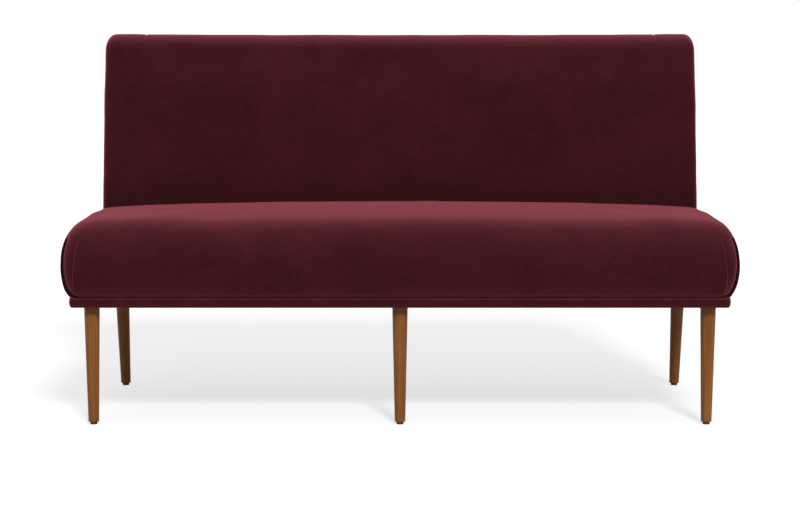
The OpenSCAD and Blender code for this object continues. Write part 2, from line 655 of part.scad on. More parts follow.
// rings over the top, drawn in towards the middle line
function inner_ring(ring, q, e) = let (ys = [for (p = ring) p[1]], ym = (min(ys) + max(ys)) / 2)
  [for (p = ring) let (x = p[0] * q, y = ym + (p[1] - ym) * q) [x, y, seat_top - e - seat_dip(x, y)]];

lower_steps = [0, 0.3, 0.55, 0.78];
roll_steps = [1, 1.25, 1.45, 1.62, 1.78, 1.9, 2];
top_steps = [0.78, 0.45];
function seat_rings(e, pleats, steps, tops) = let (rings = [for (t = steps) seat_ring(t, e, pleats)])
  concat(rings, [for (q = tops) inner_ring(rings[len(rings) - 1], q, e)]);

// a closed skin over rings of equal length, with a middle point at each end
function middle(ring) = let (n = len(ring), share = [for (i = [1 : n]) 1 / n])
  [for (k = [0, 1, 2]) [for (p = ring) p[k]] * share];
module skin(rings, cap) {
  n = len(rings[0]);
  m = len(rings);
  points = concat([for (r = rings) each r], [middle(rings[0]), cap]);
  polyhedron(points, concat(
    [for (i = [0 : m - 2], j = [0 : n - 1]) let (k = (j + 1) % n) each [
      [i * n + j, (i + 1) * n + k, i * n + k], [i * n + j, (i + 1) * n + j, (i + 1) * n + k]]],
    [for (j = [0 : n - 1]) [j, (j + 1) % n, m * n]],
    [for (j = [0 : n - 1]) [(m - 1) * n + (j + 1) % n, (m - 1) * n + j, m * n + 1]]));
}
module seat_form(e, pleats = false, steps, tops) {
  rings = seat_rings(e, pleats, steps, tops);
  last = rings[len(rings) - 1];
  y = middle(last)[1];
  skin(rings, [0, y, seat_top - e - seat_dip(0, y)]);
}
inner_steps = [0, 0.35, 0.65, 1, 1.35, 1.62, 1.82, 2];
inner_tops = [0.6];
module seat_core(e) seat_form(e, false, inner_steps, inner_tops);

module seat_cover() bench(velvet) difference() {
  seat_form(0, true, concat(lower_steps, roll_steps), top_steps);
  difference() { seat_core(cover_t); below(deck_z + fabric_t); }
  box([-frame_x - soft_gap, rail_y - soft_gap, deck_z - 1],
    [frame_x + soft_gap, base_d, deck_z + fabric_t + 1]);
  box([-frame_x - soft_gap, rail_y + rail_t, deck_z - 1], [frame_x + soft_gap, base_d, foam_z]);
}
soft_in = cover_t + soft_gap;
module seat_foam() bench(foam_colour) difference() {
  seat_core(soft_in);
  below(foam_z);
}
module seat_edge_padding() bench(foam_colour) difference() {
  seat_core(soft_in);
  below(deck_z + fabric_t + soft_gap);
  above(foam_z - soft_gap);
  box([-frame_x, rail_y, deck_z - 1], [frame_x, base_d, far]);
}

// Back frame, in the back's own frame

stile_x = frame_x - stile_w;
module back_box(lo, hi) difference() { raked() box(lo, hi); below(deck_z); }
rail_rear_y = frame_y + rail_t;

top_rail_z = frame_top - back_rail_h;
tack_edge = 12;                                // width of the tuck rail below the tucked cover
tuck_rail_z = along_back(tuck_z - cover_t, frame_y) - tack_edge;
bottom_rail_top = back_rail_h + 6;
bottom_joint_z = bottom_rail_top - back_rail_h / 2;
back_dowel_z = [bottom_joint_z, tuck_rail_z + back_rail_h / 2, top_rail_z + back_rail_h / 2];
module back_dowel_set(gap = 0) raked()
  for (x = [-stile_x, stile_x], z = back_dowel_z, j = [-1, 1])
    translate([x, frame_y + rail_t / 2, z + j * back_rail_h / 4]) rotate([0, 90, 0]) dowel(dowel_l, gap);
module back_dowels() bench(timber) back_dowel_set();

// bolts from the seat's rear rail into the back's bottom rail
back_bolt_x = [for (k = [-0.7, -0.13, 0.13, 0.7]) k * leg_x];
back_bolt_z = back_rail_h / 2 + 14;
bolt_head_h = 0.7 * bolt_d;
washer_t = 1.6;
washer_d = 2 * bolt_d + 2;
insert_l = 18;
insert_d = bolt_d + 4;
module at_back_bolts() raked() for (x = back_bolt_x)
  translate([x, seat_rear_y, back_bolt_z]) rotate([-90, 0, 0]) children();
module back_bolt(gap = 0) {
  translate([0, 0, -washer_t]) cylinder(h = rail_t + insert_l + washer_t - 2 + gap, d = bolt_d + 2 * gap);
  translate([0, 0, -washer_t - bolt_head_h]) cylinder(h = bolt_head_h, d = 1.9 * bolt_d, $fn = 6);
}
module back_bolts() bench(steel) at_back_bolts() back_bolt();
module insert_holes() at_back_bolts() translate([0, 0, rail_t - 1])
  cylinder(h = insert_l + hole_gap + 1, d = insert_d + 2 * hole_gap);
module back_bolt_washers() bench(steel) at_back_bolts() translate([0, 0, -washer_t]) difference() {
  cylinder(h = washer_t, d = washer_d);
  translate([0, 0, -1]) cylinder(h = washer_t + 2, d = bolt_d + 2 * hole_gap);
}
module back_insert_nuts() bench(steel) at_back_bolts() translate([0, 0, rail_t]) difference() {
  cylinder(h = insert_l, d = insert_d);
  translate([0, 0, -1]) cylinder(h = insert_l + 2, d = bolt_d + 2 * hole_gap);
}

module back_holes() {
  back_dowel_set(hole_gap);
  insert_holes();
  back_screw_set(hole_gap);
  back_staple_set(hole_gap);
  base_screw_set(hole_gap);
}
module stile(x) difference() {
  back_box([x, frame_y, -rail_t], [x + stile_w, backing_y, frame_top]);
  back_holes();
}
module back_left_stile() bench(timber) stile(-frame_x);
module back_right_stile() bench(timber) stile(stile_x);
module back_middle_stile() bench(timber) difference() {
  back_box([-mid_stile_w / 2, rail_rear_y, -rail_t], [mid_stile_w / 2, backing_y, frame_top]);
  back_holes();
}
module back_rail(z0, z1) difference() {
  back_box([-stile_x, frame_y, z0], [stile_x, rail_rear_y, z1]);
  back_holes();
}
module back_top_rail() bench(timber) back_rail(top_rail_z, frame_top);
module back_tuck_rail() bench(timber) back_rail(tuck_rail_z, tuck_rail_z + back_rail_h);
module back_bottom_rail() bench(timber) back_rail(-rail_t, bottom_rail_top);

// screws through the middle stile into the rails, heads flush at its rear face
back_screw_l = stile_d - rail_t + 18;
module back_screw_set(gap = 0) raked() for (z = back_dowel_z, j = [-1, 1])
  translate([j * mid_stile_w / 4, backing_y, z]) rotate([90, 0, 0]) {
    screw(back_screw_l, gap);
    if (gap > 0) translate([0, 0, -1]) cylinder(h = 1 + gap, d = screw_head_d + 2 * gap);
  }
module back_stile_screws() bench(steel) back_screw_set();

// Back webbing

back_strap_z0 = along_back(tuck_z, frame_y) + 2;
back_strap_z1 = frame_top - 2;
back_pitch = 2 * (stile_x - strap_w / 2) / back_strap_n;
back_strap_x = [for (i = [0 : back_strap_n - 1]) (i - (back_strap_n - 1) / 2) * back_pitch];
module back_staple_set(gap = 0) raked()
  for (x = back_strap_x, j = [-1, 1], z = [back_strap_z0 + strap_fold / 2, back_strap_z1 - strap_fold / 2])
    translate([x + j * strap_w / 4, frame_y - 2 * strap_t, z]) rotate([90, 0, 0]) staple(gap);
module back_straps() bench(jute) difference() {
  raked() for (x = back_strap_x) {
    box([x - strap_w / 2, frame_y - strap_t, back_strap_z0], [x + strap_w / 2, frame_y, back_strap_z1]);
    for (z = [back_strap_z0, back_strap_z1 - strap_fold])
      box([x - strap_w / 2, frame_y - 2 * strap_t, z], [x + strap_w / 2, frame_y, z + strap_fold]);
  }
  back_staple_set(hole_gap);
}

// Back upholstery: one form, drawn at an inset from its outer skin

back_low = -3 * rail_t;                        // the form runs below the deck and is cut level there
crown_z0 = along_back(seat_top, 0) + 8;        // where the face begins to bulge

// forward bulge of the back's face at a place on it
function back_bulge(x, z) = z < crown_z0 ? 0 : back_crown
  * (1 - pow(min(1, abs(x) / (back_w / 2)), crown_side_n))
  * pow(sin(180 * (z - crown_z0) / (back_len - crown_z0)), crown_rise_n);
crown_side_n = 4;                              // more keeps the bulge fuller towards the ends
crown_rise_n = 0.8;                            // less makes it fuller towards the top and the bottom

// the tucks' place and half width along the top edge
tuck_half = 7;
ear_x = back_w / 2 - tuck_x;

// half of a level's outline, with insets at the sides and at the top; a plain one is straight along its top
function back_half_arch(dx, dz, tucks, plain) = let (
    hx = back_w / 2 - dx, top = back_len - dz, r = max(back_corner_r - (dx + dz) / 2, 1),
    low = plain ? top : top - ear_h, notch = plain ? top : low - pleat_depth)
  concat(
    [for (q = [0, 0.34, 0.68]) [q * ear_x, low]],
    tucks ? [[ear_x - tuck_half, low], [ear_x, notch], [ear_x + tuck_half, top]]
          : [[ear_x, low], [ear_x + tuck_half, top]],
    [for (a = [0 : 22.5 : 90]) [hx - r + r * sin(a), top - r + r * cos(a)]],
    [for (q = [0.3, 0.6, 0.85]) [hx, lerp(top - r, crown_z0, q)]],
    [for (q = [hx / ear_x, 0.66, 0.33]) [q * ear_x, back_low]]);
function back_ring(y, dx, dz, tucks, plain = false) = let (
    h = back_half_arch(dx, dz, tucks, plain), n = len(h),
    all = concat(h, [[0, back_low]], [for (i = [n - 1 : -1 : 1]) [-h[i][0], h[i][1]]]))
  [for (p = all) [-p[0], y, p[1]]];

// rings of the face, drawn in towards a point; k holds the share of the upper outline and of the lower edge,
// which lies flat up to the height where the face begins to bulge
face_mid_z = (crown_z0 + back_len) / 2;
function face_ring(ring, k, e) = [for (p = ring)
  let (x = p[0] * k[0], z = p[2] > crown_z0 ? lerp(face_mid_z, p[2], k[0]) : lerp(face_mid_z, crown_z0, k[1]))
  [x, e - back_bulge(x, z), z]];
edge_steps = [0, 30, 60, 90];
face_steps = [[0.97, 1], [0.86, 0.8], [0.62, 0.55], [0.3, 0.27]];
inner_edges = [0, 45, 90];
inner_faces = [[0.96, 1], [0.7, 0.66]];
function back_rings(e, tucks, rear, edges, faces) = concat(
  [back_ring(rear, e + rear_draw, e + rear_draw, tucks, true), back_ring(rear - rear_edge, e, e, tucks)],
  [for (a = edges) back_ring(e + back_top_r * (1 - sin(a)),
    e + back_edge_r * (1 - cos(a)), e + back_top_r * (1 - cos(a)), tucks)],
  [for (k = faces) face_ring(back_ring(e, e + back_edge_r, e + back_top_r, tucks, true), k, e)]);
module back_form(e, tucks, rear, edges, faces) raked()
  skin(back_rings(e, tucks, rear, edges, faces), [0, e - back_bulge(0, face_mid_z), face_mid_z]);
module back_core(e, rear) back_form(e, false, rear, inner_edges, inner_faces);

module back_cover() bench(velvet) difference() {
  back_form(0, true, cover_rear, edge_steps, face_steps);
  below(deck_z);
  difference() {
    back_core(cover_t, cover_rear - fabric_t);
    intersection() {
      box([-frame_x + soft_gap, -far, tuck_z - cover_t], [frame_x - soft_gap, far, tuck_z]);
      raked() box([-far, -far, -far], [far, frame_y - soft_gap, far]);
    }
  }
  raked() box([-back_w / 2 + lap_w, cover_rear - 3, -far], [back_w / 2 - lap_w, far, back_len - lap_w]);
  intersection() {
    raked() box([-frame_x, -far, -far], [frame_x, frame_y, far]);
    below(tuck_z - cover_t);
  }
}
module back_foam() bench(foam_colour) difference() {
  intersection() {
    back_core(soft_in, cover_rear - fabric_t);
    raked() box([-far, -far, -far], [far, back_foam_y, far]);
  }
  below(tuck_z + soft_gap);
}
module back_edge_padding() bench(foam_colour) difference() {
  back_core(soft_in, cover_rear - fabric_t - soft_gap);
  below(deck_z);
  raked() box([-far, -far, -far], [far, back_foam_y + soft_gap, far]);
  raked() box([-frame_x, -far, -far], [frame_x, far, frame_top]);
}
module backing_board() bench("#9c7b52") difference() {
  raked() box([-frame_x, backing_y, -rail_t], [frame_x, backing_y + backing_t, frame_top]);
  below(deck_z);
}
module outside_back_cover() bench(velvet) difference() {
  raked() translate([0, back_t, 0]) rotate([90, 0, 0]) linear_extrude(fabric_t)
    round_rect([-back_w / 2 + outside_in, back_low],
      [back_w / 2 - outside_in, back_len - ear_h - outside_in], back_corner_r);
  below(deck_z);
}

front_left_leg();
front_middle_leg();
front_right_leg();
rear_left_leg();
rear_middle_leg();
rear_right_leg();
foot_glides();
glide_nails();
hanger_bolts();
leg_plates();
leg_plate_screws();
base_front_board();
base_rear_board();
base_left_board();
base_right_board();
base_cross_board_left();
base_cross_board_middle();
base_cross_board_right();
base_dowels();
base_screws();
base_band_padding();
base_band_cover();
dust_cover();
dust_cover_staples();
seat_front_rail();
seat_rear_rail();
seat_left_rail();
seat_right_rail();
seat_cross_rail_left();
seat_cross_rail_right();
seat_dowels();
corner_block_front_left();
corner_block_front_right();
corner_block_rear_left();
corner_block_rear_right();
corner_block_screws();
seat_straps();
seat_long_straps();
webbing_staples();
seat_hessian();
seat_foam();
seat_edge_padding();
seat_cover();
back_left_stile();
back_right_stile();
back_middle_stile();
back_top_rail();
back_tuck_rail();
back_bottom_rail();
back_dowels();
back_stile_screws();
back_bolts();
back_bolt_washers();
back_insert_nuts();
back_straps();
back_foam();
back_edge_padding();
back_cover();
backing_board();
outside_back_cover();
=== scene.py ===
import math
import bpy
import numpy as np
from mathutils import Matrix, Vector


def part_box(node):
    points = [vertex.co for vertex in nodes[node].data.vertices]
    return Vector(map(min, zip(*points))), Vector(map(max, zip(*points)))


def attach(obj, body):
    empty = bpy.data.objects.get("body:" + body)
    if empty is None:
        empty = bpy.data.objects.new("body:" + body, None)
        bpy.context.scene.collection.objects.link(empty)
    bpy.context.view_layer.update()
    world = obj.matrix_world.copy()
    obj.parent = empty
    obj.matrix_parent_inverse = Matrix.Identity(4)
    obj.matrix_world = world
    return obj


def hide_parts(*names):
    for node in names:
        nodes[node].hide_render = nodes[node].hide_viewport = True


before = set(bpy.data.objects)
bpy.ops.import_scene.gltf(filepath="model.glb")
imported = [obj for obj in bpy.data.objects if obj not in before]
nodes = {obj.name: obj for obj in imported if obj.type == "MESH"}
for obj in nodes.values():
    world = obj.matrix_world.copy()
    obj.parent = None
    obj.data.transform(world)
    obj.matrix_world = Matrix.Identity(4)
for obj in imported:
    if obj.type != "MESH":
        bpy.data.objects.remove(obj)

# Upholstered dining bench in burgundy velvet on six turned legs. Metres, +Z up, the sitter faces -Y.

scene = bpy.context.scene
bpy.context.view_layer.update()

bandLow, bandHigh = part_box("base_band_cover")
seatLow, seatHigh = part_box("seat_cover")
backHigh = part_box("back_cover")[1]
frontY = bandLow.y                       # front face of the base band
deckZ = bandHigh.z                       # top of the band, where seat and back stand
frameX = -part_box("seat_left_rail")[0].x  # outer face of the seat frame's end rails
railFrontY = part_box("seat_front_rail")[0].y
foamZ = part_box("seat_hessian")[1].z      # underside of the seat's foam


# Grids and meshes

def gridQuads(rows, columns, closed=False):
    # quads of a grid of points, row by row; a closed one joins its last column to its first
    index = np.arange(rows * columns).reshape(rows, columns)
    if closed:
        index = np.hstack([index, index[:, :1]])
    return np.stack([index[:-1, :-1], index[:-1, 1:], index[1:, 1:], index[1:, :-1]], -1).reshape(-1, 4)


def gathered(grids):
    # several grids as one skin; each grid is its points and whether it is closed
    points, quads, base = [], [], 0
    for grid, closed in grids:
        points.append(grid.reshape(-1, 3))
        quads.append(gridQuads(grid.shape[0], grid.shape[1], closed) + base)
        base += len(points[-1])
    return welded(np.concatenate(points), np.concatenate(quads))


def welded(points, quads):
    # merges points closer than a micrometre, and tells which of the old points each new one is
    key = np.round(points * 1e6).astype(np.int64)
    first, inverse = np.unique(key, axis=0, return_index=True, return_inverse=True)[1:]
    return points[first], inverse.reshape(-1)[quads], first


def shell(outer, inner, quads):
    # a closed skin: the outer surface, the inner one turned round, and a rim along every open edge
    count = len(outer)
    a, b = quads.reshape(-1), np.roll(quads, -1, axis=1).reshape(-1)
    rimmed = ~np.isin(a * count + b, b * count + a)
    a, b = a[rimmed], b[rimmed]
    rim = np.stack([b, a, a + count, b + count], -1)
    return np.concatenate([outer, inner]), np.concatenate([quads, quads[:, ::-1] + count, rim])


def makePiece(name, points, quads, material, slotName, fold=None):
    # puts points and quads into a mesh; a quad with two corners in one place becomes a triangle; fold is
    # painted light for the velvet: above 0 it darkens to painted shade, below 0 it lightens to a painted
    # highlight
    points, quads, first = welded(points, quads)
    same = quads == np.roll(quads, -1, axis=1)
    crossed = (quads[:, 0] == quads[:, 2]) | (quads[:, 1] == quads[:, 3])
    whole = quads[(same.sum(1) == 0) & ~crossed]
    pinched = quads[(same.sum(1) == 1) & ~crossed]
    turn = (np.argmax(pinched == np.roll(pinched, -1, axis=1), axis=1)[:, None] + [1, 2, 3]) % 4
    triangles = np.take_along_axis(pinched, turn, axis=1)
    mesh = bpy.data.meshes.new(name)
    mesh.from_pydata(points.tolist(), [], whole.tolist() + triangles.tolist())
    mesh.shade_smooth()
    mesh.materials.append(material)
    if fold is not None:
        tones = mesh.attributes.new("fold", "FLOAT", "POINT").data
        tones.foreach_set("value", fold[first].astype(np.float32))
    piece = bpy.data.objects.new(name, mesh)
    scene.collection.objects.link(piece)
    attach(piece, "root")
    return piece


def normals(points, quads):
    # outward normal at every point: the sum over its quads of the cross product of their diagonals
    a, b, c, d = (points[quads[:, k]] for k in range(4))
    faces = np.cross(c - a, d - b)
    total = np.zeros_like(points)
    for k in range(4):
        np.add.at(total, quads[:, k], faces)
    return total / np.maximum(np.linalg.norm(total, axis=1, keepdims=True), 1e-12)


def spread(length, spacing):
    # places from 0 to length whose distance apart is spacing(place)
    dense = np.linspace(0, length, 4001)
    count = np.concatenate([[0], np.cumsum(np.diff(dense) / spacing((dense[1:] + dense[:-1]) / 2))])
    return np.interp(np.linspace(0, count[-1], int(round(count[-1])) + 1), count, dense)


def patch(lower, right, upper, left):
    # fills four edge curves by the Coons formula; lower and upper run in +u, left and right in +v
    u = np.linspace(0, 1, len(lower))[None, :, None]
    v = np.linspace(0, 1, len(left))[:, None, None]
    ruled = (1 - v) * lower[None] + v * upper[None] + (1 - u) * left[:, None] + u * right[:, None]
    corners = (1 - u) * (1 - v) * lower[0] + u * (1 - v) * lower[-1] \
        + (1 - u) * v * upper[0] + u * v * upper[-1]
    return ruled - corners


def smoothStep(x):
    # 0 below 0, 1 above 1, and 3x^2 - 2x^3 between
    x = np.clip(x, 0, 1)
    return x * x * (3 - 2 * x)


def bell(x):
    # 1 at 0 and falling off to both sides: e^(-x^2)
    return np.exp(-x * x)


def mix(a, b, t):
    # a where t is 0, b where it is 1, and on the straight line between: a + (b - a) t
    return a + (b - a) * t


def stuffing(points, waves):
    # slow uneven filling: for every size and height, a sum of sines in the three directions
    swell = 0
    for size, height in waves:
        x, y, z = (points * (2 * math.pi / size)).T
        wave = np.sin(x + 1.3 * np.sin(0.6 * y + 0.9)) + np.sin(1.31 * y + 0.8 * z + 2.1)
        swell = swell + height / 3 * (wave + np.sin(0.57 * x + 1.7 * z + 4.2))
    return swell


def between(x, start, startRun, end, endRun):
    # 1 from start to end, with a smooth step inside each of them
    return smoothStep((x - start) / startRun) * smoothStep((end - x) / endRun)


def evened(values, quads, passes):
    # every pass mixes each point's value half and half with the mean of the points beside it
    a, b = quads.reshape(-1), np.roll(quads, -1, axis=1).reshape(-1)
    a, b = np.concatenate([a, b]), np.concatenate([b, a])
    count = np.maximum(np.bincount(a, minlength=len(values)), 1)
    for number in range(passes):
        values = (values + np.bincount(a, values[b], len(values)) / count) / 2
    return values


def puffed(name, points, quads, held, cloth):
    # blows the skin up as cloth with its held points pinned, and returns how each point has moved
    mesh = bpy.data.meshes.new(name)
    mesh.from_pydata(points.tolist(), [], quads.tolist())
    skin = bpy.data.objects.new(name, mesh)
    scene.collection.objects.link(skin)
    skin.vertex_groups.new(name="held").add(np.flatnonzero(held).tolist(), 1, "REPLACE")
    modifier = skin.modifiers.new("Cloth", "CLOTH")
    settings, cache = modifier.settings, modifier.point_cache
    settings.vertex_group_mass = "held"
    settings.use_pressure = True
    settings.uniform_pressure_force = cloth["pressure"]
    settings.quality = cloth["quality"]
    settings.shrink_min = cloth["shrink"]
    settings.effector_weights.gravity = 0
    cache.frame_start, cache.frame_end = 1, cloth["frames"]
    for number in range(1, cloth["frames"] + 1):
        scene.frame_set(number)
    evaluated = skin.evaluated_get(bpy.context.evaluated_depsgraph_get()).data
    blown = np.empty(len(points) * 3, np.float32)
    evaluated.vertices.foreach_get("co", blown)
    scene.frame_set(1)
    bpy.data.objects.remove(skin)
    move = blown.reshape(-1, 3) - points
    print(name, "moved at most", round(float(np.abs(move).max()) * 1000, 1), "mm before the cap")
    return move


def filled(name, points, quads, held, free, cloth):
    outward = normals(points, quads)
    start = points - outward * (free * cloth["smaller"])[:, None]
    move = puffed(name, start, quads, held, cloth)
    along = (move * outward).sum(1) - free * cloth["smaller"]
    along -= np.median(along[free > 0.5]) * free         # the foam is cut to make up for the general part
    along = evened(along, quads, cloth["passes"])
    reach = max(cloth["give"], np.percentile(np.abs(along[free > 0.5]), 90))
    change = cloth["give"] * np.tanh(along / reach) * free
    print(name, "form changed by", np.round(np.percentile(change, [1, 25, 50, 75, 99]) * 1000, 2), "mm")
    return points + outward * change[:, None]


# Shader maths

class Value:
    # a node's output that takes part in Python sums
    def __init__(self, paint, socket):
        self.paint, self.socket = paint, socket

    def __add__(self, other):
        return self.paint.maths("ADD", self, other)

    def __sub__(self, other):
        return self.paint.maths("SUBTRACT", self, other)

    def __rsub__(self, other):
        return self.paint.maths("SUBTRACT", other, self)

    def __mul__(self, other):
        return self.paint.maths("MULTIPLY", self, other)


class Paint:
    # a material, or the world, and the nodes in it
    def __init__(self, name, world=None):
        self.material = world or bpy.data.materials.new(name)
        self.material.use_nodes = True
        self.tree = self.material.node_tree
        self.tree.nodes.clear()

    def node(self, kind, settings=None, inputs=None, output=0):
        # makes a node with its settings, then the values or links of its sockets
        made = self.tree.nodes.new(kind)
        for key, value in (settings or {}).items():
            setattr(made, key, value)
        for key, value in (inputs or {}).items():
            if isinstance(value, Value):
                self.tree.links.new(value.socket, made.inputs[key])
            else:
                made.inputs[key].default_value = value
        return Value(self, made.outputs[output]) if made.outputs else made

    def maths(self, operation, a, b):
        return self.node("ShaderNodeMath", {"operation": operation}, {0: a, 1: b})

    def place(self):
        return self.node("ShaderNodeTexCoord", output="Object")

    def noise(self, scale, detail=2, roughness=0.5, distortion=0.0):
        # noise on object coordinates, drawn out by one scale or by a scale along each axis
        scale = scale if isinstance(scale, tuple) else (scale,) * 3
        vector = self.node("ShaderNodeMapping", None, {"Vector": self.place(), "Scale": scale})
        return self.node("ShaderNodeTexNoise", None, {"Vector": vector, "Scale": 1, "Detail": detail,
                                                      "Roughness": roughness, "Distortion": distortion})

    def blend(self, factor, a, b):
        # colour a where the factor is 0, b where it is 1
        return self.node("ShaderNodeMix", {"data_type": "RGBA"}, {0: factor, 6: a, 7: b}, 2)

    def range(self, value, low, high, toLow, toHigh):
        # a smooth step from toLow to toHigh while the value goes from low to high
        return self.node("ShaderNodeMapRange", {"interpolation_type": "SMOOTHSTEP"},
                         {0: value, 1: low, 2: high, 3: toLow, 4: toHigh})

    def finish(self, colour, roughness, height, depth, more=None):
        # the surface, with height as its bump, depth metres deep
        bump = self.node("ShaderNodeBump", None, {"Height": height, "Distance": depth})
        surface = self.node("ShaderNodeBsdfPrincipled", None,
                            {"Base Color": colour, "Roughness": roughness, "Normal": bump, **(more or {})})
        self.node("ShaderNodeOutputMaterial", None, {"Surface": surface})
        return self.material


def rgb(red, green, blue):
    # a colour as it reads on a screen, turned to linear light
    return tuple(c / 12.92 if c <= 0.04045 else ((c + 0.055) / 1.055) ** 2.4
                 for c in (red / 255, green / 255, blue / 255)) + (1,)


# Materials

velvet = {
    "deep": rgb(43, 10, 15),             # pile seen end on
    "light": rgb(63, 20, 25),            # pile brushed over
    "markAndShade": rgb(14, 2, 4),               # dark pile for the sparse marks, and painted shade in the pleats' grooves and low on the back
    "paintedHighlight": rgb(112, 52, 58),            # painted highlight along the seat's raised edge and the band's welt
    "sheen": 0.86,
    "sheenColour": rgb(255, 132, 146),
    "sheenRoughness": 0.5,
    "roughness": 0.85,
    "specular": 0.04,
}


def velvetMaterial(name, napDepth=0.0006):
    paint = Paint(name)
    cloud = paint.noise(7, 3, 0.6, 0.4)           # hand sized brushed patches
    patchy = paint.noise((30, 45, 45), 3, 0.65)   # finger sized ones
    fleck = paint.noise((110, 420, 420), 2, 0.5)  # short marks along the width
    fibre = paint.noise(1800, 1, 0.5)             # the pile itself
    tone = paint.range(cloud * 0.4 + patchy * 0.25 + fleck * 0.35, 0.3, 0.7, 0, 1)
    colour = paint.blend(tone, velvet["deep"], velvet["light"])
    nick = paint.noise((60, 190, 190), 1, 0.4)    # sparse marks, a few mm long
    colour = paint.blend(paint.range(nick, 0.22, 0.31, 0.4, 0), colour, velvet["markAndShade"])
    # the fold attribute holds painted light: above 0 it darkens to painted shade, below 0 it lightens to a
    # painted highlight
    fold = paint.node("ShaderNodeAttribute", {"attribute_name": "fold"}, output=2)
    colour = paint.blend(fold, colour, velvet["markAndShade"])
    colour = paint.blend(paint.range(fold, -1, 0, 1, 0), colour, velvet["paintedHighlight"])
    height = patchy * 0.55 + fleck * 0.3 + fibre * 0.15
    return paint.finish(colour, velvet["roughness"], height, napDepth, {
        "Specular IOR Level": velvet["specular"],
        "Sheen Weight": velvet["sheen"],
        "Sheen Roughness": velvet["sheenRoughness"],
        "Sheen Tint": velvet["sheenColour"],
    })


wood = {
    "dark": rgb(100, 54, 18),
    "middle": rgb(134, 80, 26),
    "light": rgb(158, 101, 38),
    "roughness": 0.5,
    "coat": 0.03,
}


def legWoodMaterial():
    paint = Paint("legWood")
    grain = paint.noise((190, 190, 5), 5, 0.62, 0.5)  # streaks up the leg
    pores = paint.noise((900, 900, 22), 2, 0.6)       # short open pores
    bands = paint.noise((40, 40, 2.2), 2, 0.5, 1.2)   # slow change of tone
    tone = paint.range(grain * 0.62 + bands * 0.38, 0.36, 0.64, 0, 1)
    colour = paint.blend(tone, wood["dark"], wood["light"])
    colour = paint.blend(0.45, colour, wood["middle"])
    pit = paint.range(pores, 0.36, 0.46, 1, 0)
    colour = paint.blend(pit * 0.35, colour, wood["dark"])
    return paint.finish(colour, grain * 0.14 + wood["roughness"], grain * 0.7 - pit * 0.3, 0.0003, {
        "Specular IOR Level": 0.3,
        "Coat Weight": wood["coat"],
        "Coat Roughness": 0.3,
    })


def glideMaterial():
    paint = Paint("glidePlastic")
    speck = paint.noise(700, 3, 0.6)
    scuff = paint.noise((120, 120, 600), 3, 0.6)
    colour = paint.blend(paint.range(speck, 0.4, 0.65, 0, 1), rgb(30, 26, 24), rgb(52, 46, 42))
    return paint.finish(colour, scuff * 0.3 + 0.45, speck, 0.0002)


def timberMaterial():
    # bare planed pine: rings as noise drawn out along the longest side of the bench
    paint = Paint("frameTimber")
    rings = paint.noise((3, 55, 55), 4, 0.6, 0.8)
    hair = paint.noise((30, 700, 700), 2, 0.6)
    tone = paint.range(rings * 0.75 + hair * 0.25, 0.36, 0.64, 0, 1)
    colour = paint.blend(tone, rgb(178, 134, 84), rgb(222, 188, 140))
    return paint.finish(colour, hair * 0.2 + 0.6, hair, 0.0003)


def hardboardMaterial():
    paint = Paint("hardboard")
    chips = paint.noise(260, 4, 0.7)
    mesh = paint.noise(1500, 1, 0.5)
    colour = paint.blend(paint.range(chips, 0.38, 0.62, 0, 1), rgb(120, 86, 54), rgb(156, 120, 82))
    return paint.finish(colour, chips * 0.15 + 0.7, mesh, 0.0002)


def foamMaterial():
    paint = Paint("foam")
    cells = paint.node("ShaderNodeTexVoronoi", {"feature": "F1"}, {"Vector": paint.place(), "Scale": 900})
    cloud = paint.noise(12, 2)
    return paint.finish(paint.blend(cloud, rgb(226, 214, 172), rgb(240, 231, 198)), 0.95, cells, 0.0004)


def wovenMaterial(name, dark, light, pitch, rough):
    # plain weave on object coordinates: two sets of threads, each a sine, that rise by turns
    paint = Paint(name)
    turn = 2 * math.pi / pitch
    split = paint.node("ShaderNodeSeparateXYZ", None, {"Vector": paint.place()})
    across = paint.maths("SINE", split * turn, 0)
    along = paint.maths("SINE", Value(paint, split.socket.node.outputs[1]) * turn, 0)
    upright = paint.maths("SINE", Value(paint, split.socket.node.outputs[2]) * turn, 0)
    threads = across * along + across * upright
    slub = paint.noise((60, 240, 240), 3, 0.6)
    tone = paint.range(threads * 0.25 + slub, 0.25, 0.75, 0, 1)
    return paint.finish(paint.blend(tone, dark, light), rough, threads * 0.5 + slub, 0.0004)


def steelMaterial():
    paint = Paint("zincSteel")
    flow = paint.noise(160, 3, 0.6)
    fine = paint.noise(1400, 2, 0.6)
    colour = paint.blend(flow, rgb(168, 171, 174), rgb(204, 206, 207))
    return paint.finish(colour, flow * 0.25 + 0.22, fine, 0.00005, {"Metallic": 1.0})


seatVelvet = velvetMaterial("seatVelvet")
trimVelvet = velvetMaterial("trimVelvet", 0.0004)
legWood = legWoodMaterial()
glideFinish = glideMaterial()
dustCloth = wovenMaterial("dustCloth", rgb(24, 24, 25), rgb(48, 47, 47), 0.0024, 0.9)
finishes = {
    "frame_timber": timberMaterial(),
    "hardboard": hardboardMaterial(),
    "foam": foamMaterial(),
    "webbing": wovenMaterial("juteWebbing", rgb(120, 96, 62), rgb(186, 160, 118), 0.0032, 0.9),
    "steel": steelMaterial(),
    "velvet": trimVelvet,
    "leg_wood": legWood,
    "glide_felt": glideFinish,
    "dust_cloth": dustCloth,
}
for name, part in nodes.items():
    slotName = part.material_slots[0].material.name.split(".")[0]
    part.material_slots[0].material = finishes[slotName]
print("materials done")


# Seat cushion

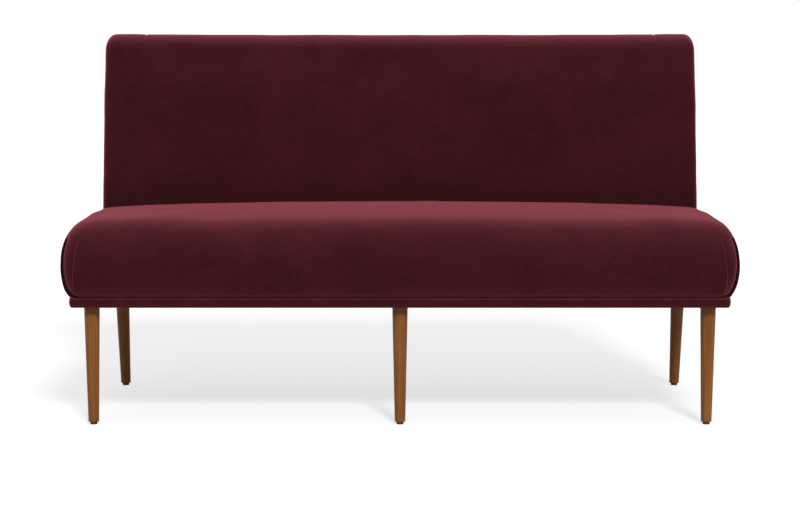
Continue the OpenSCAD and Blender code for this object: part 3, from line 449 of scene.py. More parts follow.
seat = {
    "lip": frontY - seatLow.y,           # how far the front bulges ahead of the band
    "halfWidth": seatHigh.x + 0.001,
    "top": seatHigh.z,
    "bellyZ": deckZ + 0.071,             # height of the widest line
    "fold": 0.005,                       # how far the cover is folded in at the bottom
    "rollEnds": 0.062, "rollFront": 0.113,     # how far in the rolls reach
    "cornerRadius": 0.032, "rearRadius": 0.014,
    # how far the top falls towards the ends, the front and the tuck at the rear, and over what runs; the
    # front's run is short past "shortX" and long within it
    "fall": 0.020, "flatShare": 0.7, "frontFall": 0.018, "rearFall": 0.0035,
    "fallRun": 0.30, "shortX": 0.4, "shortChange": 0.25, "tuckRun": 0.080,
    # powers of the rolls' curves, where 2 is an ellipse: above and below the widest line
    "topPower": 2.3, "sidePower": 3.5, "frontPower": 2.5,
    "lowOut": 1.8, "lowUp": 1.8, "frontLowOut": 2.5, "frontLowUp": 3,
    # how far the middle of each end stands out, where that is, how far it reaches, and its height
    "endFill": 0.0034, "endFillY": -0.035, "endFillRunY": 0.11, "endFillX": 0.768, "endFillRunX": 0.034,
    "endFillLow": 0.08, "endFillRise": 0.06,
    # the two lines of each corner's pleat along the ring from the corner's arc: fold, widest line, top
    "frontPleat": (0.0108, -0.0035, -0.0055), "sidePleat": (0.0285, 0.031, 0.0355),
    "pleatColumns": (-0.010, 0.024), "pleatZone": 0.12,      # where their columns are at the start
    "pleatTop": 0.443,                   # height where the pleats run out
    "pleatDepth": 0.0020, "endPanel": 0.75,
    # across a pleat, from its second line: where the groove and the painted shade start and end, and their
    # runs
    "pleatGroove": (-0.0034, 0.0030, 0.0006, 0.0012), "pleatShade": (-0.0012, 0.0010, 0.0060, 0.0030),
    # the edge, the groove and the gathers above the band: depth, height and width of each
    "edge": (0.0008, 0.0050, 0.0013), "groove": (0.0009, 0.0024, 0.0012), "gathers": (0.00018, 0.014, 0.009),
    # strength of the painted highlight along the raised edge above the band
    "edgeHighlight": 0.30,
    "cell": 0.0085, "rowStart": 1.2e-3, "rowGrowth": 0.16, "patchCorner": 0.034,
    # how far up from the fold and forward from the rear the skin is pinned, and the run to where it is free
    "heldLow": 0.010, "heldRear": 0.006, "freeRun": 0.030,
    "stuffing": ((0.19, 0.0009), (0.07, 0.0003)),
    "cloth": {"pressure": 4.0, "quality": 5, "frames": 20, "shrink": 0.002, "smaller": 0.003, "give": 0.001,
              "passes": 30},
}

back = {
    "rake": math.radians(9.5),
    "faceY": frontY + 0.485,             # the face at the height of the seat's crown
    "halfWidth": backHigh.x,
    "top": 0.913,
    "thickness": 0.098, "cover": 0.0012,
    "edgeRadius": 0.014, "cornerRadius": 0.023,
    "rollDepth": 0.080, "rollHeight": 0.050,   # the top edge's roll, a quarter of an ellipse
    "crown": 0.006, "crownSide": 4, "crownRise": 0.8,
    "earHeight": 0.0016, "earX": backHigh.x - 0.098, "tuckWidth": 0.035,
    "lift": 0.0042, "liftFrom": 0.20, "liftRun": 0.17,   # stuffing lifts the top, from how far below it
    "sag": 0.0013,
    # how far the ends stand out, the share of that at the top, and the runs below the top and at the foot
    "sideBulge": 0.0034, "sideTop": 0.15, "sideFall": 0.22, "sideRise": 0.12,
    "tuckDepth": 0.0020, "tuckLength": 0.034, "tuckStart": 0.004,
    # height, place and width of what stands out or is drawn in across a tuck
    "tuckWaves": ((0.3, 0.006, 0.005), (0.2, -0.007, 0.005), (-0.5, 0, 0.0016), (-0.5, 0, 0.0045)),
    "lap": 0.030, "rearDraw": 0.003, "rearEdge": 0.006, "heldRear": 0.008,
    # painted shade that darkens the face towards the seat, from higher up and more lower down: amount,
    # height, change
    "nearSeatShade": ((0.21, 0.54, 0.12), (0.30, 0.28, 0.10)),
    "frameFront": 0.0278,                # depth of the timber frame behind the face
    "overFrame": 0.0145,                 # cover, padding and ear over the frame's top
    "stuffing": ((0.21, 0.0008), (0.08, 0.00025)),
    "cell": 0.0085,
    "cloth": {"pressure": 4.0, "quality": 5, "frames": 20, "shrink": 0.002, "smaller": 0.002, "give": 0.0008,
              "passes": 30},
}
softGap = 0.0003                         # air between a cover and what it lies against


def backFace(z):
    # Y of the back's front plane at a height
    return back["faceY"] + (z - seat["top"]) * math.tan(back["rake"])


def seatDip(x, y):
    # fall of the seat's top below its crown: towards the ends, the front edge and the tuck at the rear
    u = np.minimum(1, np.abs(x) / seat["halfWidth"])
    short = smoothStep((np.abs(x) - seat["shortX"]) / seat["shortChange"])
    run = mix(seat["fallRun"], seat["rollFront"], short)
    v = np.maximum(0, (run - (y - frontY)) / (run + seat["lip"]))
    w = np.clip((y - back["faceY"] + seat["tuckRun"]) / seat["tuckRun"], 0, 1)
    ends = seat["flatShare"] * u ** 2 + (1 - seat["flatShare"]) * u ** 10
    return seat["fall"] * ends + seat["frontFall"] * v ** 2 + seat["rearFall"] * w ** 2


def seatLevel(t):
    # half width, front Y, height and share of the fall: t is 0 at the fold, 1 at the widest line, 2 on top
    low, up = np.clip(t, 0, 1) * math.pi / 2, np.clip(t - 1, 0, 1) * math.pi / 2
    out = np.sin(low) ** (2 / seat["lowOut"])
    share = np.maximum(np.cos(low), 0) ** (2 / seat["lowUp"])
    frontOut = (1 - share ** seat["frontLowUp"]) ** (1 / seat["frontLowOut"])
    rise = np.sin(up) ** (2 / seat["topPower"])
    lean = np.maximum(np.cos(up), 0)
    half = mix(bandHigh.x - seat["fold"], seat["halfWidth"], out) \
        - seat["rollEnds"] * (1 - lean ** (2 / seat["sidePower"]))
    front = frontY + mix(seat["fold"], -seat["lip"], frontOut) \
        + seat["rollFront"] * (1 - lean ** (2 / seat["frontPower"]))
    height = mix(deckZ, seat["bellyZ"], 1 - share) + (seat["top"] - seat["bellyZ"]) * rise
    return half, front, height, rise


def seatRearY(x, height, share):
    # the seat's rear follows the back's face at the height that is left after the fall
    return backFace(height - share * seatDip(x, backFace(height))) - softGap


def seatRing(t, k):
    # points of the ring at level t; k runs 0-1 along the front, 1-2 round the front corner, 2-3 along
    # the side, 3-4 round the rear corner and 4-5 along the rear, and is negative on the left half
    half, front, height, share = seatLevel(t)
    side, k = np.where(k < 0, -1.0, 1.0), np.abs(k)
    r, rr = seat["cornerRadius"], seat["rearRadius"]
    a, b = np.clip(k - 1, 0, 1) * math.pi / 2, np.clip(k - 3, 0, 1) * math.pi / 2
    along, inward = np.clip(k - 2, 0, 1), np.clip(k - 4, 0, 1)
    x = np.where(k <= 3, (half - r) * np.minimum(k, 1) + r * np.sin(a),
                 (half - rr) * (1 - inward) + rr * np.cos(b))
    rear = seatRearY(x, height, share)
    y = np.where(k <= 2, front + r * (1 - np.cos(a)),
                 np.where(k <= 3, mix(front + r, rear - rr, along), rear - rr * (1 - np.sin(b))))
    return np.stack([side * x, y, height - share * seatDip(x, y) + 0 * k], -1)


def pleatPlace(places, height):
    # place of a pleat along the ring at a height, on straight lines between its three places
    low = (height - deckZ) / (seat["bellyZ"] - deckZ)
    high = (height - seat["bellyZ"]) / (seat["top"] - seat["bellyZ"])
    return np.where(low < 1, mix(places[0], places[1], low), mix(places[1], places[2], high))


def seatColumns(t, reference):
    # k of every column: the columns near the front corners lean with the pleats, so that those are sharp
    half, front, height = seatLevel(t)[:3]
    arc = seat["cornerRadius"] * math.pi / 2
    straight = half - seat["cornerRadius"]
    sideLength = backFace(height) - seat["rearRadius"] - front - seat["cornerRadius"]
    zone = seat["pleatZone"]
    knots = [-seatReach["front"], -zone, *seat["pleatColumns"], arc + zone, arc + seatReach["side"]]
    places = [-straight, -zone * straight / seatReach["front"],
              pleatPlace(seat["frontPleat"], height), pleatPlace(seat["sidePleat"], height),
              arc + zone * sideLength / seatReach["side"], arc + sideLength]
    reference = np.clip(reference, knots[0], knots[-1])
    s = 0 * height + reference
    for low, high, start, end in zip(knots, knots[1:], places, places[1:]):
        inside = (reference >= low) & (reference <= high)
        s = np.where(inside, mix(start, end, (reference - low) / (high - low)), s)
    k = np.where(s < 0, 1 + s / straight, np.where(s < arc, 1 + s / arc, 2 + (s - arc) / sideLength))
    return np.maximum(k, 0), s


seatReach = {
    "front": seat["halfWidth"] - seat["cornerRadius"],
    "side": backFace(seat["bellyZ"]) - seat["rearRadius"] - frontY - seat["cornerRadius"],
}


def seatSkin():
    # the ring grid from the fold to the roll, then the top as a patch between its four sides
    arc, cell = seat["cornerRadius"] * math.pi / 2, seat["cell"]
    dense = np.linspace(0, 2, 801)
    front, height = seatLevel(dense)[1:3]
    run = np.concatenate([[0], np.cumsum(np.hypot(np.diff(front), np.diff(height)))])
    pleatEnd = np.interp(seat["pleatTop"], height, run)

    def rowCell(d):
        # rows are close together at the fold and where the pleats run out
        most = np.minimum(seat["rowStart"] + seat["rowGrowth"] * d, cell)
        return most * (1 - 0.6 * bell((d - pleatEnd) / 0.008))

    def columnCell(d):
        # columns are close together at the two lines of the pleat
        r = d - seatReach["front"]
        first, second = seat["pleatColumns"]
        near = np.maximum(bell((r - first) / 0.006), bell((r - second) / 0.007))
        return cell * (1 - 0.91 * near) * (1 - 0.4 * bell((r - 0.02) / 0.04))

    t = np.interp(spread(run[-1], rowCell), run, dense)[:, None]
    reference = spread(seatReach["front"] + arc + seatReach["side"], columnCell) - seatReach["front"]
    corner = int(np.searchsorted(reference, seat["patchCorner"]))    # column that ends the patch's front side
    reference = reference[None, :]
    kFront, s = seatColumns(t, reference)
    arcCells = 8
    rearArc = np.linspace(3, 4, arcCells + 1)[1:]
    rearLine = 4 + np.linspace(0, 1, corner - arcCells // 2 + 1)[1:]
    k = np.hstack([kFront, np.tile(rearArc, (len(t), 1)), np.tile(rearLine, (len(t), 1))])
    rightHalf = seatRing(t, k)
    leftHalf = seatRing(t, -np.maximum(k, 1e-9))[:, ::-1][:, 1:-1]
    rings = np.hstack([rightHalf, leftHalf])
    rearCorner = k.shape[1] - 1 - corner
    top = rings[-1]
    turned = np.roll(top, corner, axis=0)                # starts at the front left corner
    lower = turned[:2 * corner + 1]
    right = turned[2 * corner:rearCorner + corner + 1]
    upper = turned[rearCorner + corner:rearCorner + 3 * corner + 1][::-1]
    left = np.vstack([turned[rearCorner + 3 * corner:], turned[:1]])[::-1]
    middle = patch(lower, right, upper, left)
    middle[1:-1, 1:-1, 2] = seat["top"] - seatDip(middle[1:-1, 1:-1, 0], middle[1:-1, 1:-1, 1])
    print("seat rings", rings.shape, "top", middle.shape)
    # each point's place along the ring and its level, for the pleats; the rear and the top have none
    places = np.hstack([s, np.full((len(t), k.shape[1] - s.shape[1]), 1.0)])
    places = np.hstack([places, places[:, ::-1][:, 1:-1]])
    facts = np.concatenate([np.stack([places, np.broadcast_to(t, places.shape)], -1).reshape(-1, 2),
                            np.tile([1.0, 2.0], (middle.shape[0] * middle.shape[1], 1))])
    points, quads, first = gathered([(rings, True), (middle, False)])
    return points, quads, facts[first]


def pleatShape(points, facts):
    # the corner's cloth is folded under along two lines: a step down to the tab between them, a groove
    # at its far side, and past it the end panel, which fills out the round corner r by r (1 / sin a - 1);
    # widths are in metres along the ring. Returns the step's height and the painted shade at the groove
    s, height = facts[:, 0], points[:, 2]
    first, second = pleatPlace(seat["frontPleat"], height), pleatPlace(seat["sidePleat"], height)
    tab = between(s, first, 0.0013, second, 0.0010)
    groove = between(s - second, *seat["pleatGroove"])
    lip = 0.35 * bell((s - first + 0.002) / 0.003)
    angle = np.clip(s / seat["cornerRadius"], 0.3, math.pi / 2)
    squarer = seat["cornerRadius"] * (1 / np.sin(angle) - 1) * smoothStep((s - second - 0.0004) / 0.0016)
    fade = smoothStep((seat["pleatTop"] + 0.002 - height) / 0.004) * (facts[:, 1] < 1.95)
    # painted shade: the pile is darkened in the groove and on the wall past it, where shade falls
    markAndShade = fade * between(s - second, *seat["pleatShade"])
    return fade * (seat["pleatDepth"] * (lip - tab - 1.3 * groove) + seat["endPanel"] * squarer), markAndShade


def seatSeam(points, height):
    # the cover's fold above the band: a raised edge, the groove under it and small gathers over it
    x, y = points[:, 0], points[:, 1]
    edge, groove, gathers = ((depth, bell((height - middle) / width))
                             for depth, middle, width in (seat["edge"], seat["groove"], seat["gathers"]))
    wave = np.sin(x * 310 + 2 * np.sin(x * 47)) + np.sin(y * 350 + x * 90)
    return edge[0] * edge[1] - groove[0] * groove[1] + gathers[0] * wave * gathers[1]


def endSwell(points, height):
    # the filling stands out in the middle of each end's roll: a bell along the bench and one across it
    return seat["endFill"] * bell((points[:, 1] - seat["endFillY"]) / seat["endFillRunY"]) \
        * bell((np.abs(points[:, 0]) - seat["endFillX"]) / seat["endFillRunX"]) \
        * smoothStep((height - seat["endFillLow"]) / seat["endFillRise"])


def seatCushion():
    points, quads, facts = seatSkin()
    height = points[:, 2] - deckZ
    rear = points[:, 1] > backFace(points[:, 2]) - seat["heldRear"]
    free = smoothStep(height / seat["freeRun"]) \
        * smoothStep((backFace(points[:, 2]) - points[:, 1]) / seat["freeRun"])
    held = (height < seat["heldLow"]) | rear
    form = filled("seatSkin", points, quads, held, free, seat["cloth"])
    outward = normals(form, quads)
    swell = stuffing(points, seat["stuffing"]) + endSwell(points, height)
    pleats, markAndShade = pleatShape(points, facts)
    outer = form + outward * (pleats + seatSeam(points, height) * ~rear + swell * free)[:, None]
    # inside, the cover lies on the frame and the hessian; its rear is open below the foam
    inner = np.stack([np.clip(points[:, 0], -frameX - softGap, frameX + softGap),
                      np.maximum(points[:, 1], railFrontY - softGap),
                      np.minimum(points[:, 2], foamZ + softGap)], -1)
    x, y, z = points[quads].mean(1).T
    openRear = (y > backFace(z) - 0.003) & (z < foamZ) & (np.abs(x) < frameX)
    closedPoints, closedQuads = shell(outer, inner, quads[~openRear])
    # painted light for the velvet: painted shade in the pleats' grooves, less a painted highlight along the
    # raised edge above the band
    middle, width = seat["edge"][1:]
    fold = markAndShade - seat["edgeHighlight"] * bell((height - middle) / width)
    piece = makePiece("seatCushion", closedPoints, closedQuads, seatVelvet, "velvet", np.tile(fold, 2))
    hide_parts("seat_cover", "seat_foam", "seat_edge_padding")


seatCushion()
print("seat cushion done")


# Back cushion, in the back's own frame: X across, Y square to its face, Z up along it

def raked(points):
    # turns points of the back's own frame to the bench's
    c, s = math.cos(back["rake"]), math.sin(back["rake"])
    x, y, z = np.moveaxis(points, -1, 0)
    return np.stack([x, backFace(deckZ) + y * c + z * s, deckZ - y * s + z * c], -1)


# length up the face: the raked roll's highest point, the root of (depth sin)^2 + (height cos)^2 above the
# middle of its ellipse, comes out at back["top"]
rollSin, rollCos = back["rollDepth"] * math.sin(back["rake"]), back["rollHeight"] * math.cos(back["rake"])
backLength = (back["top"] - deckZ + rollSin - math.hypot(rollSin, rollCos)) / math.cos(back["rake"]) \
    + back["rollHeight"]
crownZ = (seat["top"] - deckZ) / math.cos(back["rake"]) + 0.008
coverRear = back["thickness"] - back["cover"]


def backBulge(x, z):
    # forward bulge of the face
    rise = np.clip((z - crownZ) / (backLength - crownZ), 0, 1)
    return back["crown"] * (1 - np.minimum(1, np.abs(x) / back["halfWidth"]) ** back["crownSide"]) \
        * np.sin(math.pi * rise) ** back["crownRise"] * smoothStep((1 - rise) / 0.1)


def topShare(z):
    return smoothStep((z - backLength + back["liftFrom"]) / back["liftRun"])


def fullness(points):
    # the stuffed outline: the ends stand out most below the middle, and the top is fuller, with a sag
    # between the tucks
    x, z = points[..., 0], points[..., 2]
    across = np.abs(x) / back["halfWidth"]
    side = mix(back["sideTop"], 1, smoothStep((backLength - z) / back["sideFall"])) * back["sideBulge"] \
        * smoothStep(z / back["sideRise"])
    top = back["lift"] - back["sag"] * np.maximum(1 - (x / back["earX"]) ** 2, 0)
    out = x / back["halfWidth"] * side * (np.abs(x) > back["halfWidth"] * 0.9) * across ** 8
    return np.stack([out, 0 * x, top * topShare(z)], -1)


def earRise(x):
    # the padded ears stand a little over the rest of the top edge, beyond the tucks
    return back["earHeight"] * (smoothStep((np.abs(x) - back["earX"]) / back["tuckWidth"]) - 1)


def backArch(y, dx, dz, across, up, corner):
    # outline at depth y with insets dx at the sides and dz at the top; across holds shares of the top's
    # straight part, up those of the sides, and corner the corner's angles
    half, top = back["halfWidth"] - dx, backLength - dz
    r = back["cornerRadius"] - dx / 2
    low = y * math.tan(back["rake"])
    rightUp = np.stack(np.broadcast_arrays(half, y, mix(low, top - r, up[None, :])), -1)
    arc = np.stack(np.broadcast_arrays(half - r + r * np.cos(corner[None, :]), y,
                                       top - r + r * np.sin(corner[None, :])), -1)
    line = np.stack(np.broadcast_arrays((half - r) * across[None, :], y, top), -1)
    right = np.concatenate([rightUp[:, :-1], arc[:, :-1]], 1)
    left = right[:, ::-1] * [-1, 1, 1]
    return np.concatenate([right, line, left], 1)


def backSkin():
    # arches from the rear's hem forward over the roll, and a patch for the face; columns are close together
    # at the tucks
    cell, r = back["cell"], back["cornerRadius"]
    straight = back["halfWidth"] - r
    tuckSpot = straight - back["earX"]
    across = spread(straight, lambda d: cell * (1 - 0.86 * bell((d - tuckSpot) / 0.009)))
    across = np.concatenate([1 - across / straight, (across / straight - 1)[::-1][1:]])
    up = spread(backLength - r, lambda d: np.full_like(d, cell)) / (backLength - r)
    cornerCells = 8
    corner = np.linspace(0, math.pi / 2, cornerCells + 1)
    turn = np.linspace(0, math.pi / 2, 21)[1:]
    lapIn = np.linspace(1, 0, 4)[:-1]
    depths = np.concatenate([
        np.full(3, coverRear), [coverRear, coverRear - 0.25 * back["rearEdge"], coverRear - back["rearEdge"]],
        np.linspace(coverRear - back["rearEdge"], back["rollDepth"], 3)[1:],
        back["rollDepth"] * (1 - np.sin(turn))])[:, None]
    edge = back["edgeRadius"]
    sideRoll = edge - np.sqrt(edge ** 2 - np.maximum(edge - depths[-len(turn):, 0], 0) ** 2)
    rear = np.concatenate([back["rearDraw"] + lapIn * back["lap"], [back["rearDraw"], 0.001, 0, 0, 0]])
    sides = np.concatenate([rear, sideRoll])[:, None]
    tops = np.concatenate([rear, back["rollHeight"] * (1 - np.cos(turn))])[:, None]
    rings = backArch(depths, sides, tops, across, up, corner)
    rings[..., 2] += earRise(rings[..., 0]) * smoothStep((rings[..., 2] - backLength + 0.08) / 0.05)
    last = rings[-1]
    sideCount = len(up) - 1 + cornerCells // 2     # the patch's sides end halfway round the corners
    right, upper, left = last[:sideCount + 1], last[sideCount:-sideCount][::-1], last[-sideCount - 1:][::-1]
    lower = left[0] + (right[0] - left[0]) * ((upper[:, :1] - upper[0, 0]) / (upper[-1, 0] - upper[0, 0]))
    face = patch(lower, right, upper, left)
    print("back rings", rings.shape, "face", face.shape)
    points, quads = gathered([(rings, False), (face, False)])[:2]
    points[:, 1] -= backBulge(points[:, 0], points[:, 2]) * smoothStep(1 - points[:, 1] / 0.040)
    return points + fullness(points), quads


def tuckShape(local):
    # a short sewn fold at each ear, deep at the top edge and run out down the face
    x, z = np.abs(local[:, 0]) - back["earX"], backLength - local[:, 2]
    fade = smoothStep(1 - (z - back["tuckStart"]) / back["tuckLength"]) * (local[:, 1] < coverRear - 0.004)
    return fade * sum(height * bell((x - place) / width) for height, place, width in back["tuckWaves"])


def backCushion():
    local, quads = backSkin()
    across, depth, height = local.T
    heldFrom = coverRear - back["heldRear"]
    free = smoothStep((heldFrom - depth) / 0.03) * smoothStep((height - crownZ) / 0.04)
    held = (depth > heldFrom) | (height < crownZ)
    form = filled("backSkin", local, quads, held, free, back["cloth"])
    outward = normals(form, quads)
    swell = stuffing(local, back["stuffing"]) * free
    outer = form + outward * (back["tuckDepth"] * tuckShape(local) + swell)[:, None]
    # inside, the cover lies on the frame; its front is open behind the seat
    inner = np.stack([np.clip(across, -frameX, frameX),
                      np.clip(depth, back["frameFront"], coverRear - back["cover"]),
                      np.minimum(height, backLength - back["overFrame"] - softGap)], -1)
    x, y, z = local[quads].mean(1).T
    tuckZ = (foamZ + 0.008 - deckZ) / math.cos(back["rake"])
    openFront = (y < 0.02) & (z < tuckZ) & (np.abs(x) < frameX)
    closedPoints, closedQuads = shell(outer, inner, quads[~openFront])
    # painted shade, darker towards the seat, on the face only and not on the rolls round it
    nearSeatShade = sum(amount * smoothStep((below - height) / change) for amount, below, change in back["nearSeatShade"])
    nearSeatShade = nearSeatShade * smoothStep(1 - depth / 0.03)
    piece = makePiece("backCushion", raked(closedPoints), closedQuads, seatVelvet, "velvet",
                      np.tile(nearSeatShade, 2))
    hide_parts("back_cover", "back_foam", "back_edge_padding")


backCushion()
print("back cushion done")


# Outside back: the velvet sheet that closes the rear, with its edge turned under

outside = {"inset": 0.005, "hem": 0.010, "hemRise": 0.0005, "slack": 0.0005,
           "edgeCell": 0.0016, "cellGrowth": 0.25, "cell": 0.010}


def outsideBack():
    half = back["halfWidth"] - outside["inset"]
    top = backLength - back["earHeight"] - outside["inset"]
    low = back["thickness"] * math.tan(back["rake"])
    r = back["cornerRadius"]

    def places(length):
        # from 0 to length, closer together near both ends
        return spread(length, lambda d: np.minimum(
            outside["edgeCell"] + outside["cellGrowth"] * np.minimum(d, length - d), outside["cell"]))

    x, z = places(2 * half) / half - 1, low + places(top - low)
    width = half - r + np.sqrt(np.maximum(r ** 2 - np.maximum(z - top + r, 0) ** 2, 0))
    xGrid, zGrid = x[None, :] * width[:, None], z[:, None] + 0 * x[None, :]
    fromEdge = np.minimum(width[:, None] - np.abs(xGrid), np.minimum(top - zGrid, zGrid - low + 0.02))
    hem = outside["hemRise"] * smoothStep(fromEdge / 0.0015)
    hem = hem * (1 - 0.8 * smoothStep((fromEdge - outside["hem"]) / 0.002))
    slack = outside["slack"] * np.sin(xGrid * 21 + 1) * np.sin(zGrid * 17) * smoothStep(fromEdge / 0.05)
    outer = np.stack([xGrid, back["thickness"] + hem + slack, zGrid], -1)[:, ::-1]
    quads = gridQuads(*outer.shape[:2])
    outer = outer.reshape(-1, 3)
    inner = outer * [1, 0, 1] + [0, coverRear + 0.0001, 0]
    points, quads = shell(outer, inner, quads)
    points[:, 2] += back["lift"] * topShare(points[:, 2])
    piece = makePiece("outsideBack", raked(points), quads, trimVelvet, "velvet")
    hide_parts("outside_back_cover")
    top - low


outsideBack()
print("outside back done")


# Base band: a padded roll round the edge of the base, turned over the boards above and below

band = {
    "bulge": 0.0055, "cornerRadius": 0.0065, "lap": 0.030, "cloth": 0.0012, "endPad": 0.0025,
    # the welt near the top edge and a painted highlight just under it: where, as a share of the height, and
    # how wide, and the highlight's strength
    "welt": 0.0011, "weltAt": 0.87, "highlightAt": 0.84, "weltWidth": 0.0013, "highlightTone": -0.7,
    "pucker": 0.00022, "cell": 0.010,
}


def baseBand():
    height = deckZ - bandLow.z
    a = np.arcsin(np.linspace(-1, 1, 33))
    rise = height / 2 * (1 + np.sin(a))
    welt = band["welt"] * bell((rise - height * band["weltAt"]) / band["weltWidth"])
    out = np.concatenate([[-band["lap"], -0.015, -0.005], band["bulge"] * np.cos(a) + welt,
                          [-0.005, -0.015, -band["lap"], -band["lap"], 0, 0, -band["lap"], -band["lap"]]])
    up = np.concatenate([[0, 0, 0], rise, [height] * 3,
                         [height - band["cloth"]] * 2, [band["cloth"]] * 2, [0]])
    x0, y0 = bandHigh.x - band["bulge"] + band["endPad"], (bandHigh.y - bandLow.y) / 2 - band["bulge"]
    angle = np.linspace(0, math.pi / 2, 9)
    runX = np.linspace(-1, 1, int(2 * x0 / band["cell"]))[1:-1]
    runY = np.linspace(-1, 1, int(2 * y0 / band["cell"]))[1:-1]
    # the path, a corner and then the straight run that follows it: centre's place in shares, and direction
    corners = np.array([(1, -1), (1, 1), (-1, 1), (-1, -1)])
    parts = []
    for turn, here in enumerate(corners):
        spin = angle + (turn - 1) * math.pi / 2
        way = np.stack([np.cos(spin), np.sin(spin)], -1)
        share = (1 + (runX if turn % 2 else runY)[:, None]) / 2
        straight = mix(here, corners[(turn + 1) % 4], share)
        parts.append(np.hstack([np.tile(here, (len(way), 1)), way]))
        parts.append(np.hstack([straight, np.tile(way[-1], (len(share), 1))]))
    path = np.concatenate(parts)
    signX, signY, wayX, wayY = path.T[:, None, :]
    out, up = out[:, None], up[:, None]
    r = band["cornerRadius"]
    inset, radius = np.maximum(r, -out), np.maximum(r + out, 0)
    x = signX * (x0 - inset) + wayX * radius
    y = signY * (y0 - inset) + wayY * radius + (bandHigh.y + bandLow.y) / 2
    pucker = np.sin(x * 160 + y * 240) + np.sin(x * 75 - y * 110 + 1)
    pucker *= band["pucker"] * np.maximum(out, 0) / band["bulge"]
    points = np.stack([x + wayX * pucker, y + wayY * pucker, bandLow.z + up + 0 * x], -1)
    points, quads = gathered([(points, True)])[:2]
    # painted highlight along the band's shoulder, just under the welt
    fold = band["highlightTone"] * bell((points[:, 2] - bandLow.z - height * band["highlightAt"]) / band["weltWidth"])
    piece = makePiece("baseBand", points, quads, trimVelvet, "velvet", fold)
    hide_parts("base_band_cover", "base_band_padding")


baseBand()
print("base band done")


# Legs and glides, turned

leg = {"topRadius": 0.0182, "footRadius": 0.0125, "footEdge": 0.0015, "rake": math.radians(9.5), "around": 64}
glide = {"radius": 0.0085, "edge": 0.0015, "nailHole": 0.0013, "headHole": 0.0036, "headSeat": 0.0037}
legNames = ["front_left", "front_middle", "front_right", "rear_left", "rear_middle", "rear_right"]


def turned(radius, height, centreX, centreY, stretch=1.0):
    # carries a profile of radius and height round a centre line whose Y is a function of the height
    angle = np.arange(leg["around"]) * 2 * math.pi / leg["around"]
    x = centreX + radius[:, None] * np.cos(angle)
    y = centreY(height)[:, None] + stretch * radius[:, None] * np.sin(angle)
    return np.stack([x, y, height[:, None] + 0 * x], -1)


def legPlace(name):
    # centre of a leg's top, and its rake
    low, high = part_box(name + "_leg")
    rake = leg["rake"] if name.startswith("rear") else 0.0
    topY = low.y + leg["topRadius"] / math.cos(rake)
    return (low.x + high.x) / 2, topY, low.z, high.z, rake


def turnedLeg(name):
    x, topY, low, high, rake = legPlace(name)
    bevel = np.linspace(0, math.pi / 2, 5)
    rise = np.linspace(0, 1, 41)
    foot, edge = leg["footRadius"], leg["footEdge"]
    radius = np.concatenate([[0, 0.005, foot - 2 * edge], foot - edge + edge * np.sin(bevel[1:]),
                             mix(foot, leg["topRadius"], rise[1:]), [0.5 * leg["topRadius"], 0]])
    height = np.concatenate([[low] * 3, low + edge * (1 - np.cos(bevel[1:])),
                             mix(low + edge, high, rise[1:]), [high] * 2])
    grid = turned(radius, height, x, lambda z: topY + (high - z) * math.tan(rake), 1 / math.cos(rake))
    side, number = name.split("_")
    piece = makePiece(side + number.capitalize() + "Leg", *gathered([(grid, True)])[:2], legWood, "leg_wood")
    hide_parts(name + "_leg")


def footGlides():
    grids = []
    for name in legNames:
        x, topY, low, high, rake = legPlace(name)
        y = topY + (high - low) * math.tan(rake)
        r, e, nail, head, seatZ = (glide[key] for key in
                                   ("radius", "edge", "nailHole", "headHole", "headSeat"))
        bevel = np.linspace(0, math.pi / 2, 5)
        radius = np.concatenate([[head], r - e + e * np.sin(bevel), [r, nail, nail, head, head]])
        height = np.concatenate([[0], e * (1 - np.cos(bevel)), [low, low, seatZ, seatZ, 0]])
        grids.append((turned(radius, height, x, lambda z: y + 0 * z), True))
    piece = makePiece("footGlides", *gathered(grids)[:2], glideFinish, "glide_felt")
    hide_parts("foot_glides")


for name in legNames:
    turnedLeg(name)
footGlides()
print("legs and glides done")


# Dust cover: black cloth stapled under the base, cut out round each leg's top

dust = {"thickness": 0.0006, "hole": 0.0232, "sag": 0.0012, "sagPitch": 0.72, "crinkle": 0.0003,
        "cell": 0.009}


def dustCover():
    low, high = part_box("dust_cover")
    countX, countY = int((high.x - low.x) / dust["cell"]), int((high.y - low.y) / dust["cell"])
    x, y = np.meshgrid(np.linspace(low.x, high.x, countX), np.linspace(low.y, high.y, countY))
    quads = gridQuads(countY, countX)
    x, y = x.reshape(-1), y.reshape(-1)
    removed = np.zeros(len(quads), bool)
    for name in legNames:
        cx, cy = legPlace(name)[:2]
        away = np.hypot(x[quads].mean(1) - cx, y[quads].mean(1) - cy)
        gone = away < dust["hole"]
        rim = np.intersect1d(quads[gone], quads[~gone & ~removed])
        out = np.hypot(x[rim] - cx, y[rim] - cy)
        x[rim] = cx + (x[rim] - cx) * dust["hole"] / out
        y[rim] = cy + (y[rim] - cy) * dust["hole"] / out
        removed |= gone
    edge = np.minimum(np.minimum(x - low.x, high.x - x), np.minimum(y - low.y, high.y - y))
    sag = dust["sag"] * smoothStep((edge - 0.09) / 0.1) \
        * np.abs(np.sin(x * 2 * math.pi / dust["sagPitch"])) ** 0.7
    crinkle = dust["crinkle"] * np.sin(x * 90 + 3 * np.sin(y * 31)) * np.sin(y * 60 + 1)
    crinkle = np.maximum(crinkle * smoothStep((edge - 0.02) / 0.05), 0)
    lower = np.stack([x, y, low.z - sag - crinkle], -1)
    upper = lower + [0, 0, dust["thickness"] - 0.00002]
    points, quads = shell(upper, lower, quads[~removed])
    piece = makePiece("dustCover", points, quads, dustCloth, "dust_cloth")
    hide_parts("dust_cover")


dustCover()
print("dust cover done")


# Camera, light and floor

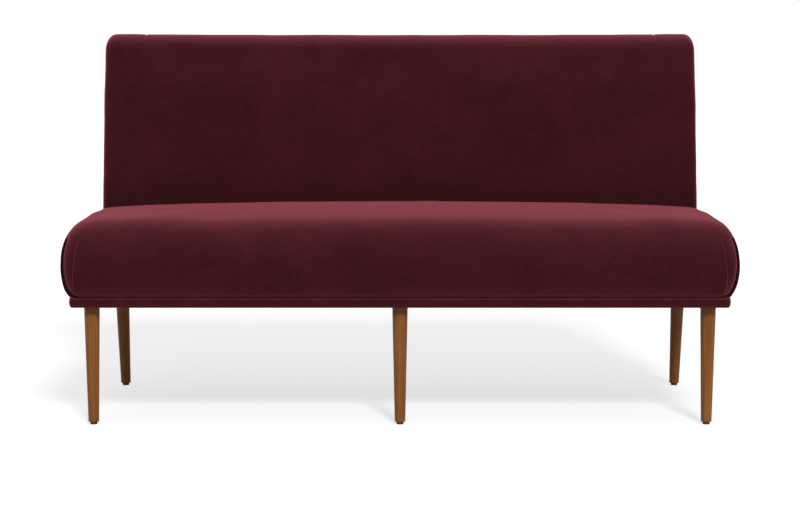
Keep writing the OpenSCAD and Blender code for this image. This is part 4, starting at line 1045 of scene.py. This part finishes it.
room = {
    "cameraPlace": (0, -4.649, 0.870), "cameraTilt": 6.06, "lens": 85,
    "topPower": 35, "topPlace": (0, -0.6, 3.4), "topSize": (4.0, 3.0),
    "keyPower": 2850, "keyPlace": (3.5, -15.2, 13.0), "keySize": (3.5, 3.5),
    "aim": (0, 0, 0.4), "ambient": 0.3,
    "floorColour": 0.42, "floorBounce": 0.4, "floorGlow": 0.71, "floorNear": 1.6, "floorFar": 3.2,
    "floorReach": 60.0, "flags": 0.85,
}


def addCamera():
    camera = bpy.data.objects.new("camera", bpy.data.cameras.new("camera"))
    camera.data.lens = room["lens"]
    camera.location = room["cameraPlace"]
    camera.rotation_euler = (math.radians(90 - room["cameraTilt"]), 0, 0)
    scene.collection.objects.link(camera)
    scene.camera = camera


def addLight(name, place, size, power, aim):
    light = bpy.data.lights.new(name, "AREA")
    light.shape, light.energy = "RECTANGLE", power
    light.size, light.size_y = size
    lamp = bpy.data.objects.new(name, light)
    lamp.location = place
    lamp.rotation_euler = (Vector(aim) - Vector(place)).to_track_quat("-Z", "Y").to_euler()
    scene.collection.objects.link(lamp)


def seenDirectly(paint):
    # 1 for the camera and for what metal and glass mirror, 0 for light that falls on the bench
    path = paint.node("ShaderNodeLightPath")
    rays = [Value(paint, path.socket.node.outputs[name])
            for name in ("Is Camera Ray", "Is Glossy Ray", "Is Transmission Ray")]
    return paint.maths("MINIMUM", rays[0] + rays[1] + rays[2], 1)


def addFloor():
    paint = Paint("floor")
    seen = seenDirectly(paint)
    tone = paint.blend(seen, (room["floorBounce"],) * 3 + (1,), (room["floorColour"],) * 3 + (1,))
    matt = paint.node("ShaderNodeBsdfDiffuse", None, {"Color": tone})
    away = paint.node("ShaderNodeVectorMath", {"operation": "LENGTH"}, {0: paint.place()}, 1)
    strength = paint.range(away, room["floorNear"], room["floorFar"], room["floorGlow"], 1)
    glow = paint.node("ShaderNodeEmission", None, {"Color": (1, 1, 1, 1), "Strength": seen * strength})
    both = paint.node("ShaderNodeAddShader", None, {0: matt, 1: glow})
    paint.node("ShaderNodeOutputMaterial", None, {"Surface": both})
    mesh = bpy.data.meshes.new("floor")
    reach = room["floorReach"]
    corners = [(-reach, -reach, 0), (reach, -reach, 0), (reach, reach, 0), (-reach, reach, 0)]
    mesh.from_pydata(corners, [], [(0, 1, 2, 3)])
    mesh.materials.append(paint.material)
    floor = bpy.data.objects.new("floor", mesh)
    scene.collection.objects.link(floor)


def addWorld():
    # soft light from everywhere but the two ends, where black flags stand: 1 - flags * x^2
    scene.world = bpy.data.worlds.new("studio")
    paint = Paint("studio", scene.world)
    spot = paint.node("ShaderNodeTexCoord", output="Generated")
    way = paint.node("ShaderNodeSeparateXYZ", None, {"Vector": spot})
    soft = (1 - way * way * room["flags"]) * room["ambient"]
    seen = seenDirectly(paint)
    light = paint.node("ShaderNodeBackground", None,
                       {"Color": (1, 1, 1, 1), "Strength": seen * (1 - soft) + soft})
    paint.node("ShaderNodeOutputWorld", None, {"Surface": light})


addCamera()
addLight("topLight", room["topPlace"], room["topSize"], room["topPower"], room["aim"])
addLight("keyLight", room["keyPlace"], room["keySize"], room["keyPower"], room["aim"])
addFloor()
addWorld()
scene.view_settings.view_transform = "Standard"
print("room done")
